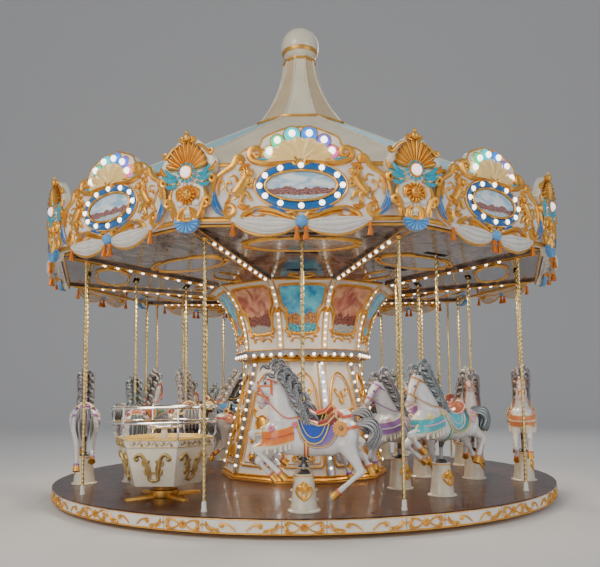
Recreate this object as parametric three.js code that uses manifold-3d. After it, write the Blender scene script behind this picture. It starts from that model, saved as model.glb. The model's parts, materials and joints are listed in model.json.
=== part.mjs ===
// A ten-sided fairground merry-go-round: a turning deck and canopy on a fixed mast, jumping horses
// driven by overhead crankshafts, and one spinning tub. Millimetres, +Z up, the ground at z = 0.
import * as THREE from "three";
import { mergeVertices } from "three/addons/utils/BufferGeometryUtils.js";
import Module from "manifold-3d";

const wasm = await Module();
wasm.setup();

// ---- Driving dimensions -------------------------------------------------------------------------
const SIDES = 10;
const SECTOR = (2 * Math.PI) / SIDES;
const GAP = 0.3; // between pieces that touch
const RUN = 2; // between pieces that turn or slide past each other
const ROUND = 60; // facets of a large round piece
const SINK = 20; // how far a welded piece reaches into its neighbour

const base = {
  arms: 5, armLength: 2300, armWidth: 110, footRadius: 150, footHeight: 20,
  armHeight: 70, hubRadius: 720, hubPlate: 25,
};
const mast = { radius: 150, flangeRadius: 260, flangeHeight: 40 };
const bearing = { innerRadius: 620, outerRadius: 700, height: 30 };
const deck = {
  radius: 4000, top: 240, thickness: 50, lip: 16, lipReach: 55, openingRadius: 740,
};
const joist = { width: 60, height: 60, ringInner: 600, ringOuter: 725 };
const valance = { bottom: 60, wall: 30, inset: 10 };
const wheel = { radius: 120, width: 46, shaft: 20, lift: 12 };
const motor = { radius: 95, height: 330, plate: 25, foot: 70, plateWidth: 180, wheelGap: 20 };

// Heights below are above the deck's top face. Insets are measured in from the fascia's radius.
const rimPole = { radius: 22.5, inset: 419, collar: 36, collarHeight: 120, topGap: 4 };
const ceiling = {
  innerRadius: 1602, innerHeight: 3062, outerInset: 60, slope: 0.0869, thickness: 20,
};
const rib = { width: 110, depth: 34, inset: 60, flush: 2 };
const slot = { length: 430, width: 90, reach: 150 };
const fascia = { radius: 4150, wall: 45, height: 700 };
// Outlines are (half width, height from the middle), from the lowest point up.
const crest = {
  middle: 3664, thickness: 150, sink: 20,
  outline: [
    [0, -500], [330, -500], [880, -330], [1000, -60], [930, 210], [600, 400], [470, 620], [220, 750],
  ],
};
const ornament = {
  middle: 3744, thickness: 95, sink: 25,
  outline: [[70, -588], [190, -170], [400, 10], [370, 240], [210, 440], [90, 588]],
};
const roof = { edgeGap: 3, neck: 900, neckHeight: 5860, thickness: 18, eaveWidth: 40 };
const spire = { foot: 886, tip: 280, tipHeight: 7260, wall: 22, curl: 1.84 };
const finial = { radius: 336, collar: 240, collarHeight: 20 };
const crown = { foot: 1110, footHeight: 1950, wall: 22, lip: 16, lipReach: 40, topInset: 4, curve: 0.92 };
const column = {
  foot: 1370, top: 930, height: 1930, wall: 22, skirt: 110, skirtEdge: 66, skirtReach: 40,
};

const crank = {
  height: 3850, throw: 170, shaft: 30, pin: 22, web: 26, webWidth: 76, pinLength: 64, overhang: 70,
};
const gear = { crownRadius: 320, ratio: 4, face: 60, clearance: 2.5, rim: 34, taper: 60 };
const beam = { width: 80, height: 150, bottom: 3345, innerRadius: 230, hubRise: 8, endGap: 30 };
const tie = { width: 80, innerAt: 640, outerInset: 380, inset: 15 };
const saddle = { halfWidth: 35, halfLength: 30, shaftPast: 12 };
const rafter = {
  width: 70, drop: 130, ringInner: 640, ringWidth: 120, ringHeight: 80, inset: 70, legHalf: 28,
};

// The rows of seats are shares of the fascia's radius.
const row = {
  outer: 3540 / 4150, middle: 2800 / 4150, inner: 2000 / 4150, oddOuter: 3085 / 4150, oddInner: 2310 / 4150,
};
const pole = { radius: 25, bottom: 215, top: 3450 };
// The bore is six-sided, so its corners stand off the pole by more than 1 / cos 30 degrees.
const pedestal = { top: 105, bottom: 150, height: 420, floor: 25, sides: 8, bore: 1.16 };

const tub = {
  circle: 3030 / 4150, azimuth: -38, spin: 34,
  floorHeight: 185, height: 605, topWidth: 1350, bottomWidth: 1000,
  wall: 30, floor: 40, seatHeight: 280, seatDepth: 280, railRadius: 695, railTube: 19,
  railRise: [200, 390], railBend: 70, railPost: 16, bore: 62,
};
const tubBase = {
  turn: -10, legLength: 560, legWidth: 95, legHeight: 60, turntable: 190, post: 50, postHeight: 720,
  wheel: 235, rim: 34,
};

// How far each sector's crank stands from mid-stroke at rest, as a share of its throw.
const CRANK_REST = [-0.3, 0.2, 0.15, 0.7, -0.5, 0.6, -0.7, 0.5, 0.3];

// ---- Helpers --------------------------------------------------------------------------------------
const { PI, cos, sin, tan, sqrt, asin } = Math;
const point = (x, y) => new THREE.Vector2(x, y);
const at = (x, y, z) => new THREE.Vector3(x, y, z);
const rotated = (angle) => new THREE.Matrix4().makeRotationZ(angle);
const apothem = (radius) => radius * cos(SECTOR / 2);

// A closed three.js geometry as a solid for joining and cutting.
function solid(geometry) {
  const bare = geometry.clone();
  bare.deleteAttribute("normal");
  bare.deleteAttribute("uv");
  const merged = mergeVertices(bare, 1e-3);
  const vertProperties = new Float32Array(merged.attributes.position.array);
  const triVerts = new Uint32Array(merged.index.array);
  return new wasm.Manifold(new wasm.Mesh({ numProp: 3, vertProperties, triVerts }));
}

const join = (pieces) => pieces.map((g) => solid(g)).reduce((all, next) => all.add(next));
const cut = (body, tools) => tools.reduce((left, tool) => left.subtract(solid(tool)), body);

// The solid's surface as a geometry again.
function geometryOf(body) {
  const { vertProperties, triVerts } = body.getMesh();
  const geometry = new THREE.BufferGeometry();
  geometry.setAttribute("position", new THREE.BufferAttribute(vertProperties, 3));
  geometry.setIndex(new THREE.BufferAttribute(triVerts, 1));
  return geometry;
}

// A named mesh with its own finish.
function part(name, shape, colour, roughness = 0.5, metalness = 0) {
  const geometry = shape.isBufferGeometry ? shape : geometryOf(shape);
  const flat = geometry.index ? geometry.toNonIndexed() : geometry.clone();
  flat.computeVertexNormals();
  const mesh = new THREE.Mesh(flat, new THREE.MeshStandardMaterial({ color: colour, roughness, metalness }));
  mesh.name = name;
  return mesh;
}

// A profile of (radius, height) points turned about Z. The outline runs so that its faces point out.
function turned(profile, segments = ROUND, start = 0) {
  const points = profile.map(([r, h]) => point(r, h));
  const ends = [points[0], points.at(-1)];
  if (THREE.ShapeUtils.area(points) < 0) points.reverse();
  if (ends.some((p) => p.x > 0)) points.push(points[0].clone());
  return new THREE.LatheGeometry(points, segments, start).rotateX(PI / 2);
}

// The same with ten flat sides, its corners between the sectors.
const tenSided = (profile) => turned(profile, SIDES, SECTOR / 2);

const ring = (inner, outer, low, high, segments = ROUND) =>
  turned([[inner, low], [outer, low], [outer, high], [inner, high]], segments);

const disc = (radius, low, high, segments = ROUND) =>
  turned([[0, low], [radius, low], [radius, high], [0, high]], segments);

// A box from its lowest to its highest corner.
function box(low, high) {
  const size = high.map((v, i) => v - low[i]);
  const middle = high.map((v, i) => (v + low[i]) / 2);
  return new THREE.BoxGeometry(...size).translate(...middle);
}

// A tapered round limb between two points.
function limb(from, to, fromRadius, toRadius, sides = 6) {
  const along = to.clone().sub(from);
  const turn = new THREE.Quaternion().setFromUnitVectors(at(0, 1, 0), along.clone().normalize());
  const geometry = new THREE.CylinderGeometry(toRadius, fromRadius, along.length(), sides);
  const middle = from.clone().add(to).multiplyScalar(0.5);
  return geometry.applyQuaternion(turn).translate(middle.x, middle.y, middle.z);
}

// A square bar that runs between two points in the plane of X = 0.
function spar(from, to, width, depth) {
  const along = to.clone().sub(from);
  const bar = new THREE.BoxGeometry(width, along.length(), depth);
  const middle = from.clone().add(to).multiplyScalar(0.5);
  bar.rotateX(Math.atan2(along.z, along.y));
  return bar.translate(middle.x, middle.y, middle.z);
}

// An outline in the plane facing the front, thickened outwards (towards -Y) from a distance.
function plate(shape, distance, thickness) {
  const geometry = new THREE.ExtrudeGeometry(shape, { depth: thickness, bevelEnabled: false });
  return geometry.rotateX(PI / 2).translate(0, -distance, 0);
}

// Copies of a geometry at the given angles about the mast.
const around = (geometry, angles) => angles.map((a) => geometry.clone().applyMatrix4(rotated(a)));

// Radii that follow the fascia's.
const rimPoleCircle = fascia.radius - rimPole.inset;
const ceilingOuter = fascia.radius - ceiling.outerInset;
const outerTieAt = fascia.radius - tie.outerInset;
const rowRadius = (name) => Math.round(row[name] * fascia.radius);
const tubCircle = Math.round(tub.circle * fascia.radius);

const faces = Array.from({ length: SIDES }, (_, i) => i * SECTOR);
const corners = faces.map((a) => a + SECTOR / 2);

// ---- Sectors and seats ----------------------------------------------------------------------------
// Sector 1 is the front, and they count towards +X. The last one holds the tub.
const sectors = faces.slice(0, SIDES - 1).map((angle, index) => {
  const wide = index % 2 === 0;
  const places = wide
    ? [["outer", "outer", 1], ["middle", "middle", -1], ["inner", "inner", 1]]
    : [["outer", "oddOuter", 1], ["inner", "oddInner", -1]];
  const rows = places.map(([name, place, side]) => [name, rowRadius(place), side]);
  return { number: index + 1, angle, rest: CRANK_REST[index], rows };
});

// ---- Fixed base -----------------------------------------------------------------------------------
const armTop = base.footHeight + base.armHeight;
const bearingTop = armTop + GAP + bearing.height;
const crankZ = deck.top + crank.height;
const crownGearZ = crankZ - gear.crownRadius / gear.ratio;

function baseFrame() {
  const angles = Array.from({ length: base.arms }, (_, i) => (i * 2 * PI) / base.arms);
  const half = base.armWidth / 2;
  const arm = box([-half, -base.armLength, base.footHeight], [half, 0, armTop]);
  const foot = disc(base.footRadius, 0, base.footHeight + 1, 10).translate(0, -base.armLength + half, 0);
  const hub = disc(base.hubRadius, armTop - base.hubPlate, armTop, 30);
  return join([hub, ...around(arm, angles), ...around(foot, angles)]);
}

// The mast, with the crown gear that every crankshaft's pinion rolls on as the ride turns.
function centreMast() {
  const foot = armTop + GAP;
  const inner = gear.crownRadius - gear.face;
  const rise = gear.face / gear.ratio;
  const profile = [
    [0, foot], [mast.flangeRadius, foot], [mast.flangeRadius, foot + mast.flangeHeight],
    [mast.radius, foot + mast.flangeHeight], [mast.radius, crownGearZ - gear.rim - gear.taper],
    [gear.crownRadius, crownGearZ - gear.rim], [gear.crownRadius, crownGearZ - gear.clearance],
    [inner, crownGearZ + rise - gear.clearance], [0, crownGearZ + rise - gear.clearance],
  ];
  return turned(profile, 32);
}

const slewBearing = () => ring(bearing.innerRadius, bearing.outerRadius, armTop + GAP, bearingTop, 32);

// ---- Friction drive inside the deck frame's ring --------------------------------------------------
const wheelAt = joist.ringInner - RUN - wheel.radius;
const wheelLow = bearingTop + wheel.lift;
const motorPlateZ = deck.top;

function driveWheel() {
  const tyre = disc(wheel.radius, wheelLow, wheelLow + wheel.width, 36);
  const shaft = disc(wheel.shaft, wheelLow, motorPlateZ - GAP, 16);
  return join([tyre, shaft]);
}

function driveMotor() {
  const half = motor.plateWidth / 2;
  const inner = wheelAt - wheel.radius - motor.wheelGap;
  const bracket = box([inner - motor.foot, -half, armTop + GAP], [inner, half, motorPlateZ + 1]);
  const top = motorPlateZ + motor.plate;
  const table = box([inner - motor.foot, -half, motorPlateZ], [wheelAt + half, half, top]);
  const can = disc(motor.radius, top - 1, top + motor.height, 24).translate(wheelAt, 0, 0);
  return join([bracket, table, can]);
}

// ---- Deck -----------------------------------------------------------------------------------------
const deckUnder = deck.top - deck.thickness;
const deckEdge = deck.radius - deck.lipReach;
const joistLow = bearingTop + GAP;
const joistHigh = deckUnder - GAP;

function deckFrame() {
  const half = joist.width / 2;
  const valanceInside = deck.radius - valance.inset - valance.wall;
  const reach = valanceInside - RUN - half * half / valanceInside;
  const hub = ring(joist.ringInner, joist.ringOuter, joistLow, joistHigh);
  const beamLow = joistHigh - joist.height;
  const spoke = box([-half, -reach, beamLow], [half, -joist.ringOuter + SINK, joistHigh]);
  return join([hub, ...around(spoke, corners)]);
}

// A horse's pedestal: a cone, bored for the pole.
function pedestalCone(radius) {
  const wallThrough = deck.top - deck.thickness / 2;
  const high = deck.top + pedestal.height;
  const profile = [[0, wallThrough], [pedestal.bottom, wallThrough], [pedestal.top, high], [0, high]];
  return turned(profile, pedestal.sides).translate(0, -radius, 0);
}

function pedestalBore(radius) {
  const top = deck.top + pedestal.height + 1;
  return disc(pole.radius * pedestal.bore, deck.top + pedestal.floor, top, 6).translate(0, -radius, 0);
}

function deckPlate() {
  const profile = [
    [deck.openingRadius, deckUnder], [deckEdge, deckUnder], [deckEdge, deck.top - deck.lip],
    [deck.radius, deck.top - deck.lip], [deck.radius, deck.top], [deck.openingRadius, deck.top],
  ];
  const cones = [];
  const bores = [];
  for (const { angle, rows } of sectors) {
    cones.push(...rows.flatMap(([, radius]) => around(pedestalCone(radius), [angle])));
    bores.push(...rows.flatMap(([, radius]) => around(pedestalBore(radius), [angle])));
  }
  return cut(join([turned(profile), ...cones]), bores);
}

function rimValance() {
  const outer = deck.radius - valance.inset;
  return ring(outer - valance.wall, outer, valance.bottom, deck.top - deck.lip - GAP);
}

// ---- Canopy ---------------------------------------------------------------------------------------
// Height of the ceiling's lower face above the deck, at a corner radius.
const ceilingHeight = (radius) => ceiling.innerHeight + (radius - ceiling.innerRadius) * ceiling.slope;
const poleTop = deck.top + ceilingHeight(rimPoleCircle) - rib.depth - rimPole.topGap;

function rimPoleShape() {
  const foot = deck.top + GAP;
  const neck = foot + rimPole.collarHeight;
  const profile = [
    [0, foot], [rimPole.collar, foot], [rimPole.radius, neck], [rimPole.radius, poleTop], [0, poleTop],
  ];
  return turned(profile, 8).translate(0, -rimPoleCircle, 0);
}

function ceilingPanels() {
  const low = deck.top + ceilingHeight(ceiling.innerRadius);
  const high = deck.top + ceilingHeight(ceilingOuter);
  const shell = tenSided([
    [ceiling.innerRadius, low], [ceilingOuter, high],
    [ceilingOuter, high + ceiling.thickness], [ceiling.innerRadius, low + ceiling.thickness],
  ]);
  const drop = rib.depth / 2 - rib.flush;
  const along = (radius) => at(0, -radius, deck.top + ceilingHeight(radius) - drop);
  const ribEnds = [ceiling.innerRadius + rib.inset, ceilingOuter - rib.inset].map(along);
  const oneRib = spar(...ribEnds, rib.width, rib.depth);
  const slots = sectors.flatMap(({ angle, rows }) => rows.flatMap(([, radius]) => {
    const [x, y] = [slot.length / 2, slot.width / 2];
    const z = deck.top + ceilingHeight(radius);
    const tool = box([-x, -radius - y, z - slot.reach], [x, -radius + y, z + slot.reach]);
    return around(tool, [angle]);
  }));
  return cut(join([shell, ...around(oneRib, corners)]), slots);
}

// The turning frame overhead: ten beams on a hub, ties with the crank bearings, and the roof rafters.
function canopyFrame() {
  const low = deck.top + beam.bottom;
  const high = low + beam.height;
  const half = beam.width / 2;
  const reach = fascia.radius - fascia.wall - beam.endGap;
  const hub = ring(mast.radius + RUN, beam.innerRadius, low - beam.hubRise, high + beam.hubRise, 24);
  const oneBeam = box([-half, -reach, low], [half, -beam.innerRadius + SINK, high]);
  const pieces = [hub, ...around(oneBeam, corners)];
  for (const distance of [tie.innerAt, outerTieAt]) {
    const span = distance * tan(SECTOR / 2);
    const bar = box(
      [-span, -distance - tie.width / 2, low + tie.inset],
      [span, -distance + tie.width / 2, high - tie.inset],
    );
    pieces.push(...around(bar, faces));
    const post = box(
      [-saddle.halfWidth, -distance - saddle.halfLength, high - tie.inset - SINK],
      [saddle.halfWidth, -distance + saddle.halfLength, crankZ - crank.shaft - RUN],
    );
    pieces.push(...around(post, sectors.map(({ angle }) => angle)));
  }
  const underRoof = (radius) => at(0, -radius, deck.top + roofHeight(radius) - rafter.drop);
  const outer = underRoof(reach - rafter.inset);
  const inner = underRoof(rafter.ringInner + rafter.ringWidth / 2);
  const leg = box(
    [-rafter.legHalf, outer.y - rafter.legHalf, high - SINK],
    [rafter.legHalf, outer.y + rafter.legHalf, outer.z],
  );
  pieces.push(...around(leg, corners));
  pieces.push(...around(spar(outer, inner, rafter.width, rafter.width), corners));
  const ringLow = inner.z - rafter.ringHeight / 2;
  pieces.push(tenSided([
    [rafter.ringInner, ringLow], [rafter.ringInner + rafter.ringWidth, ringLow],
    [rafter.ringInner + rafter.ringWidth, ringLow + rafter.ringHeight],
    [rafter.ringInner, ringLow + rafter.ringHeight],
  ]));
  return join(pieces);
}

// Crown: a concave flare that widens from its foot to the ceiling.
function crownHousing() {
  const steps = 5;
  const top = ceiling.innerHeight - GAP;
  const flare = Array.from({ length: steps + 1 }, (_, i) => {
    const t = i / steps;
    const swell = (1 - sqrt(1 - t * t * crown.curve)) / (1 - sqrt(1 - crown.curve));
    return [crown.foot + (ceiling.innerRadius - crown.topInset - crown.foot) * swell,
      deck.top + crown.footHeight + (top - crown.footHeight) * t];
  });
  const inside = flare.map(([r, z]) => [r - crown.wall, z]).reverse();
  const footInner = column.top - crown.lipReach;
  const lipTop = deck.top + crown.footHeight + crown.lip;
  inside.pop();
  return tenSided([[footInner, deck.top + crown.footHeight], ...flare, ...inside,
    [crown.foot - crown.wall, lipTop], [footInner, lipTop]]);
}

function columnHousing() {
  const foot = deck.top + GAP;
  const high = deck.top + column.height;
  const slopeIn = (column.foot - column.top) / column.height;
  const atSkirt = column.foot - slopeIn * column.skirt;
  return tenSided([
    [column.foot - column.wall, foot], [column.foot + column.skirtReach, foot],
    [column.foot + column.skirtReach, foot + column.skirtEdge], [atSkirt, foot + column.skirt],
    [column.top, high], [column.top - column.wall, high],
  ]);
}

// The roof's eave stands just behind the crest boards and the corner ornaments.
const behindCrest = fascia.radius - crest.sink / cos(SECTOR / 2);
const eave = Math.min(behindCrest, fascia.radius - ornament.sink) - roof.edgeGap;

// Height of the roof's upper face above the deck, at a corner radius.
const fasciaFoot = ceilingHeight(ceilingOuter);
const eaveHeight = fasciaFoot + fascia.height;
const roofSlope = (roof.neckHeight - eaveHeight) / (eave - roof.neck);
const roofHeight = (radius) => eaveHeight + roof.thickness + (eave - radius) * roofSlope;

function roofPanels() {
  const low = deck.top + eaveHeight + GAP;
  const high = deck.top + roof.neckHeight;
  return tenSided([
    [eave, low], [eave, low + roof.thickness], [roof.neck, high + roof.thickness],
    [roof.neck, high], [eave - roof.eaveWidth, low],
  ]);
}

// Spire: a bell whose sides curve in to a narrow tip.
function spireShell() {
  const steps = 6;
  const foot = roof.neckHeight + roof.thickness + GAP;
  const outside = Array.from({ length: steps + 1 }, (_, i) => {
    const t = i / steps;
    return [spire.tip + (spire.foot - spire.tip) * (1 - t) ** spire.curl,
      deck.top + foot + (spire.tipHeight - foot) * t];
  });
  const inside = outside.slice(0, -1).map(([r, z]) => [r - spire.wall, z]).reverse();
  const capLow = deck.top + spire.tipHeight - spire.wall;
  const cap = [[0, outside.at(-1)[1]], [0, capLow], [spire.tip - spire.wall, capLow]];
  return tenSided([...outside, ...cap, ...inside]);
}

function finialBall() {
  const foot = deck.top + spire.tipHeight + GAP;
  const start = foot + finial.collarHeight;
  const drop = sqrt(finial.radius ** 2 - finial.collar ** 2);
  const steps = 8;
  const first = -asin(drop / finial.radius);
  const arc = Array.from({ length: steps }, (_, i) => {
    const a = first + ((PI / 2 - first) * i) / (steps - 1);
    return [finial.radius * Math.max(cos(a), 0), start + drop + finial.radius * sin(a)];
  });
  return turned([[0, foot], [finial.collar, foot], ...arc], 16);
}

// Both halves of an outline as one closed shape.
function mirrored({ middle, outline }) {
  const right = outline.map(([x, z]) => point(x, middle + z));
  const left = outline.filter(([x]) => x > 0).map(([x, z]) => point(-x, middle + z)).reverse();
  return new THREE.Shape([...right, ...left]);
}

function fasciaRing() {
  const low = deck.top + fasciaFoot;
  const high = deck.top + eaveHeight;
  const inner = fascia.radius - fascia.wall;
  const wall = tenSided([[inner, low], [fascia.radius, low], [fascia.radius, high], [inner, high]]);
  const board = plate(mirrored(crest), apothem(fascia.radius) - crest.sink, crest.thickness);
  const corner = plate(mirrored(ornament), fascia.radius - ornament.sink, ornament.thickness);
  const pieces = [...around(board, faces), ...around(corner, corners)];
  return join([wall, ...pieces.map((piece) => piece.translate(0, 0, deck.top))]);
}

// ---- Crankshafts ----------------------------------------------------------------------------------
// A radial shaft with a bevel pinion at its inner end and one throw for each row of horses.
function crankshaft({ rows, rest }) {
  const swing = asin(rest);
  const tip = rows[0][1] + crank.pinLength / 2 + crank.web + crank.overhang;
  const end = Math.max(tip, outerTieAt + tie.width / 2 + saddle.shaftPast);
  const pinionRadius = gear.crownRadius / gear.ratio;
  const inner = gear.crownRadius - gear.face;
  const pieces = [
    limb(at(0, -inner, 0), at(0, -gear.crownRadius, 0), inner / gear.ratio, pinionRadius, 12),
  ];
  let from = gear.crownRadius - 1;
  for (const [, radius, side] of [...rows].reverse()) {
    const half = crank.pinLength / 2;
    const offset = at(crank.throw * cos(swing) * side, 0, crank.throw * sin(swing) * side);
    const webs = [-radius + half + crank.web / 2, -radius - half - crank.web / 2];
    pieces.push(limb(at(0, -from, 0), at(0, webs[0], 0), crank.shaft, crank.shaft, 5));
    for (const y of webs) {
      const web = new THREE.BoxGeometry(crank.throw + crank.webWidth, crank.web, crank.webWidth);
      web.rotateY(-swing).translate(offset.x / 2, y, offset.z / 2);
      pieces.push(web);
    }
    const pinEnds = webs.map((y) => at(offset.x, y, offset.z));
    pieces.push(limb(...pinEnds, crank.pin, crank.pin, 5));
    from = -webs[1];
  }
  pieces.push(limb(at(0, -from, 0), at(0, -end, 0), crank.shaft, crank.shaft, 5));
  return join(pieces);
}

// ---- Horses ---------------------------------------------------------------------------------------
// Each pose gives the poll and nose, and the knee and hoof of each leg, as (x, z), ahead of the pole
// at -X. The two fore legs come first in "fore", and the two hind legs in "hind".
// A smaller ring carries smaller horses: these lengths are for a fascia of "ring".
const horseBody = {
  length: 1060, width: 340, depth: 400, middle: 95, height: 865, flank: 85, neckWidth: 120, tailWidth: 70,
  ring: 4150,
};
const hips = { fore: [-190, 850], hind: [370, 850] };
const legThickness = { upper: 100, knee: 46, hoof: 42, across: 64 };
const poses = {
  raised: { poll: [-340, 1545], nose: [-570, 1480], tail: [800, 740],
    fore: [[-560, 770, -200, 430], [-545, 625, -330, 400]],
    hind: [[668, 482, 325, 218], [720, 640, 790, 474]] },
  tucked: { poll: [-470, 1580], nose: [-560, 1140], tail: [830, 790],
    fore: [[-690, 770, -430, 560], [-560, 640, -200, 400]],
    hind: [[760, 680, 580, 360], [700, 560, 830, 350]] },
  prancing: { poll: [-430, 1560], nose: [-620, 1180], tail: [720, 560],
    fore: [[-560, 650, -560, 360], [-470, 470, -330, 300]],
    hind: [[560, 500, 650, 215], [480, 470, 700, 350]] },
};

// A flat piece cut to an outline of (x, z) points, across the horse from side to side.
function slab(outline, middle, thickness) {
  const shape = new THREE.Shape(outline.map(([x, z]) => point(x, z)));
  const geometry = new THREE.ExtrudeGeometry(shape, { depth: thickness, bevelEnabled: false });
  return geometry.rotateX(PI / 2).translate(0, middle + thickness / 2, 0);
}

// A leg's outline: wide at the hip and narrow at the knee, each width square to the leg there.
function legOutline([hipX, hipZ], [kneeX, kneeZ, hoofX, hoofZ]) {
  const spine = [point(hipX, hipZ), point(kneeX, kneeZ), point(hoofX, hoofZ)];
  const widths = [legThickness.upper, legThickness.knee, legThickness.hoof];
  const offsets = spine.map((here, i) => {
    const before = spine[Math.max(i - 1, 0)];
    const after = spine[Math.min(i + 1, 2)];
    const along = after.clone().sub(here).normalize().add(here.clone().sub(before).normalize());
    return point(-along.y, along.x).normalize().multiplyScalar(widths[i]);
  });
  const left = spine.map((here, i) => here.clone().add(offsets[i]));
  const right = spine.map((here, i) => here.clone().sub(offsets[i])).reverse();
  return [...left, ...right].map(({ x, y }) => [x, y]);
}

function neckOutline([px, pz], [nx, nz]) {
  return [
    [-60, 1000], [-400, 800], [px - 10, pz - 190], [nx + 50, nz - 30], [nx, nz + 40], [px - 70, pz + 10],
    [px + 20, pz + 100], [px + 120, pz - 10], [px + 260, pz - 260],
  ];
}

function tailOutline([tx, tz]) {
  return [[360, 900], [tx - 110, tz + 40], [tx - 40, tz], [tx + 60, tz + 200], [560, 1010], [400, 980]];
}

function horse({ poll, nose, tail, ...legs }) {
  const { length, width, depth, middle, height, flank, neckWidth, tailWidth } = horseBody;
  const share = fascia.radius / horseBody.ring;
  const barrel = new THREE.SphereGeometry(0.5, 6, 4).rotateZ(PI / 2).scale(length, width, depth);
  const pieces = [
    barrel.translate(middle, 0, height),
    slab(neckOutline(poll, nose), 0, neckWidth),
    slab(tailOutline(tail), 0, tailWidth),
  ];
  for (const [end, hip] of Object.entries(hips))
    legs[end].forEach((leg, i) => {
      pieces.push(slab(legOutline(hip, leg), i === 0 ? -flank : flank, legThickness.across));
    });
  for (const piece of pieces)
    piece.translate(0, 0, -height).scale(share, share, share).translate(0, 0, height);
  pieces.push(limb(at(0, 0, pole.bottom), at(0, 0, pole.top), pole.radius, pole.radius, 5));
  return join(pieces);
}

// ---- Tub ------------------------------------------------------------------------------------------
const tubFaces = Array.from({ length: 6 }, (_, i) => (i * PI) / 3);
const sixSided = (profile) => turned(profile, 6, PI / 6);

function tubShell() {
  const low = tub.floorHeight;
  const high = low + tub.height;
  const widest = tub.topWidth / 2;
  const foot = tub.bottomWidth / 2;
  const lean = (widest - foot) / tub.height;
  const wallAt = (z) => foot + lean * (z - low) - tub.wall;
  const seat = low + tub.seatHeight;
  const profile = [
    [tub.bore, low], [foot, low], [widest, high], [widest - tub.wall, high], [wallAt(seat), seat],
    [wallAt(seat) - tub.seatDepth, seat], [wallAt(seat) - tub.seatDepth, low + tub.floor],
    [tub.bore, low + tub.floor],
  ];
  const pieces = [sixSided(profile)];
  for (const rise of tub.railRise)
    pieces.push(new THREE.TorusGeometry(tub.railRadius, tub.railTube, 4, 12).translate(0, 0, high + rise));
  const rimFoot = at(0, -widest + tub.wall / 2, high - tub.wall / 2);
  const top = at(0, -tub.railRadius, high + tub.railRise.at(-1));
  const bend = at(0, -tub.railRadius, high + tub.railBend);
  const posts = [[rimFoot, bend], [bend, top]].map(([a, b]) => limb(a, b, tub.railPost, tub.railPost, 4));
  const angles = tubFaces.map((a) => a + PI / 6);
  pieces.push(...posts.flatMap((post) => around(post, angles)));
  return join(pieces);
}

function tubPedestal() {
  const half = tubBase.legWidth / 2;
  const legs = [0, PI / 2].map((a) => box([-tubBase.legLength, -half, GAP], [tubBase.legLength, half,
    tubBase.legHeight]).applyMatrix4(rotated(a)));
  const turntable = disc(tubBase.turntable, tubBase.legHeight - 1, tub.floorHeight - RUN, 20);
  const post = disc(tubBase.post, tub.floorHeight - RUN - 1, tub.floorHeight + tubBase.postHeight, 16);
  const hand = disc(tubBase.wheel, tub.floorHeight + tubBase.postHeight - 1,
    tub.floorHeight + tubBase.postHeight + tubBase.rim, 24);
  return join([...legs, turntable, post, hand]);
}

// ---- Assembly -------------------------------------------------------------------------------------
const roundabout = new THREE.Group();
const fixed = new THREE.Group();
const turning = new THREE.Group();
roundabout.add(fixed, turning);

fixed.add(
  part("base_frame", baseFrame(), 0x3a3d40, 0.6, 0.8),
  part("centre_mast", centreMast(), 0x50555a, 0.5, 0.8),
  part("slew_bearing", slewBearing(), 0x8a8d90, 0.3, 1),
  part("drive_motor", driveMotor(), 0x2f4f6f, 0.5, 0.4),
);
const driver = part("drive_wheel", driveWheel(), 0x1c1c1c, 0.9, 0);
driver.position.set(wheelAt, 0, 0);
fixed.add(driver);

turning.add(
  part("deck_frame", deckFrame(), 0x44484c, 0.6, 0.7),
  part("deck", deckPlate(), 0x3b2622, 0.25, 0),
  part("rim_valance", rimValance(), 0xeee6d8, 0.35, 0),
  part("canopy_frame", canopyFrame(), 0x5b5f63, 0.5, 0.8),
  part("ceiling", ceilingPanels(), 0x5d4f4a, 0.25, 0),
  part("crown_housing", crownHousing(), 0xeee8df, 0.3, 0),
  part("column_housing", columnHousing(), 0xe9e6e2, 0.15, 0.3),
  part("fascia", fasciaRing(), 0xf0e9dc, 0.35, 0),
  part("roof", roofPanels(), 0xe8dcc0, 0.6, 0),
  part("spire", spireShell(), 0xe9dcc2, 0.5, 0),
  part("finial", finialBall(), 0xf4ead2, 0.3, 0),
);

corners.forEach((angle, i) => {
  const upright = part("rim_pole_" + (i + 1), rimPoleShape(), 0xd8a94a, 0.25, 1);
  upright.rotation.z = angle;
  turning.add(upright);
});

const poseNames = Object.keys(poses);
const horseShapes = Object.fromEntries(poseNames.map((name) => [name, horse(poses[name])]));
for (const sector of sectors) {
  const slice = new THREE.Group();
  slice.rotation.z = sector.angle;
  const shaft = part("crankshaft_" + sector.number, crankshaft(sector), 0x777c80, 0.35, 1);
  shaft.position.z = crankZ;
  slice.add(shaft);
  sector.rows.forEach(([name, radius, side], i) => {
    const pose = poseNames[(sector.number - 1 + i) % poseNames.length];
    const mount = part(`horse_${sector.number}_${name}`, horseShapes[pose], 0xf2efe9, 0.3, 0);
    mount.position.set(0, -radius, deck.top + crank.throw * sector.rest * side);
    slice.add(mount);
  });
  turning.add(slice);
}

const tubSlice = new THREE.Group();
tubSlice.rotation.z = THREE.MathUtils.degToRad(tub.azimuth);
const tubPieces = [
  [part("tub_base", tubPedestal(), 0xd6a548, 0.4, 0.6), tubBase.turn],
  [part("tub", tubShell(), 0xf3ead9, 0.35), tub.spin],
];
for (const [piece, turn] of tubPieces) {
  piece.position.set(0, -tubCircle, deck.top);
  piece.rotation.z = THREE.MathUtils.degToRad(turn);
  tubSlice.add(piece);
}
turning.add(tubSlice);

export default roundabout;
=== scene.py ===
import json
import math

import bpy
import numpy as np
from mathutils import Matrix, Vector
from mathutils.bvhtree import BVHTree

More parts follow.
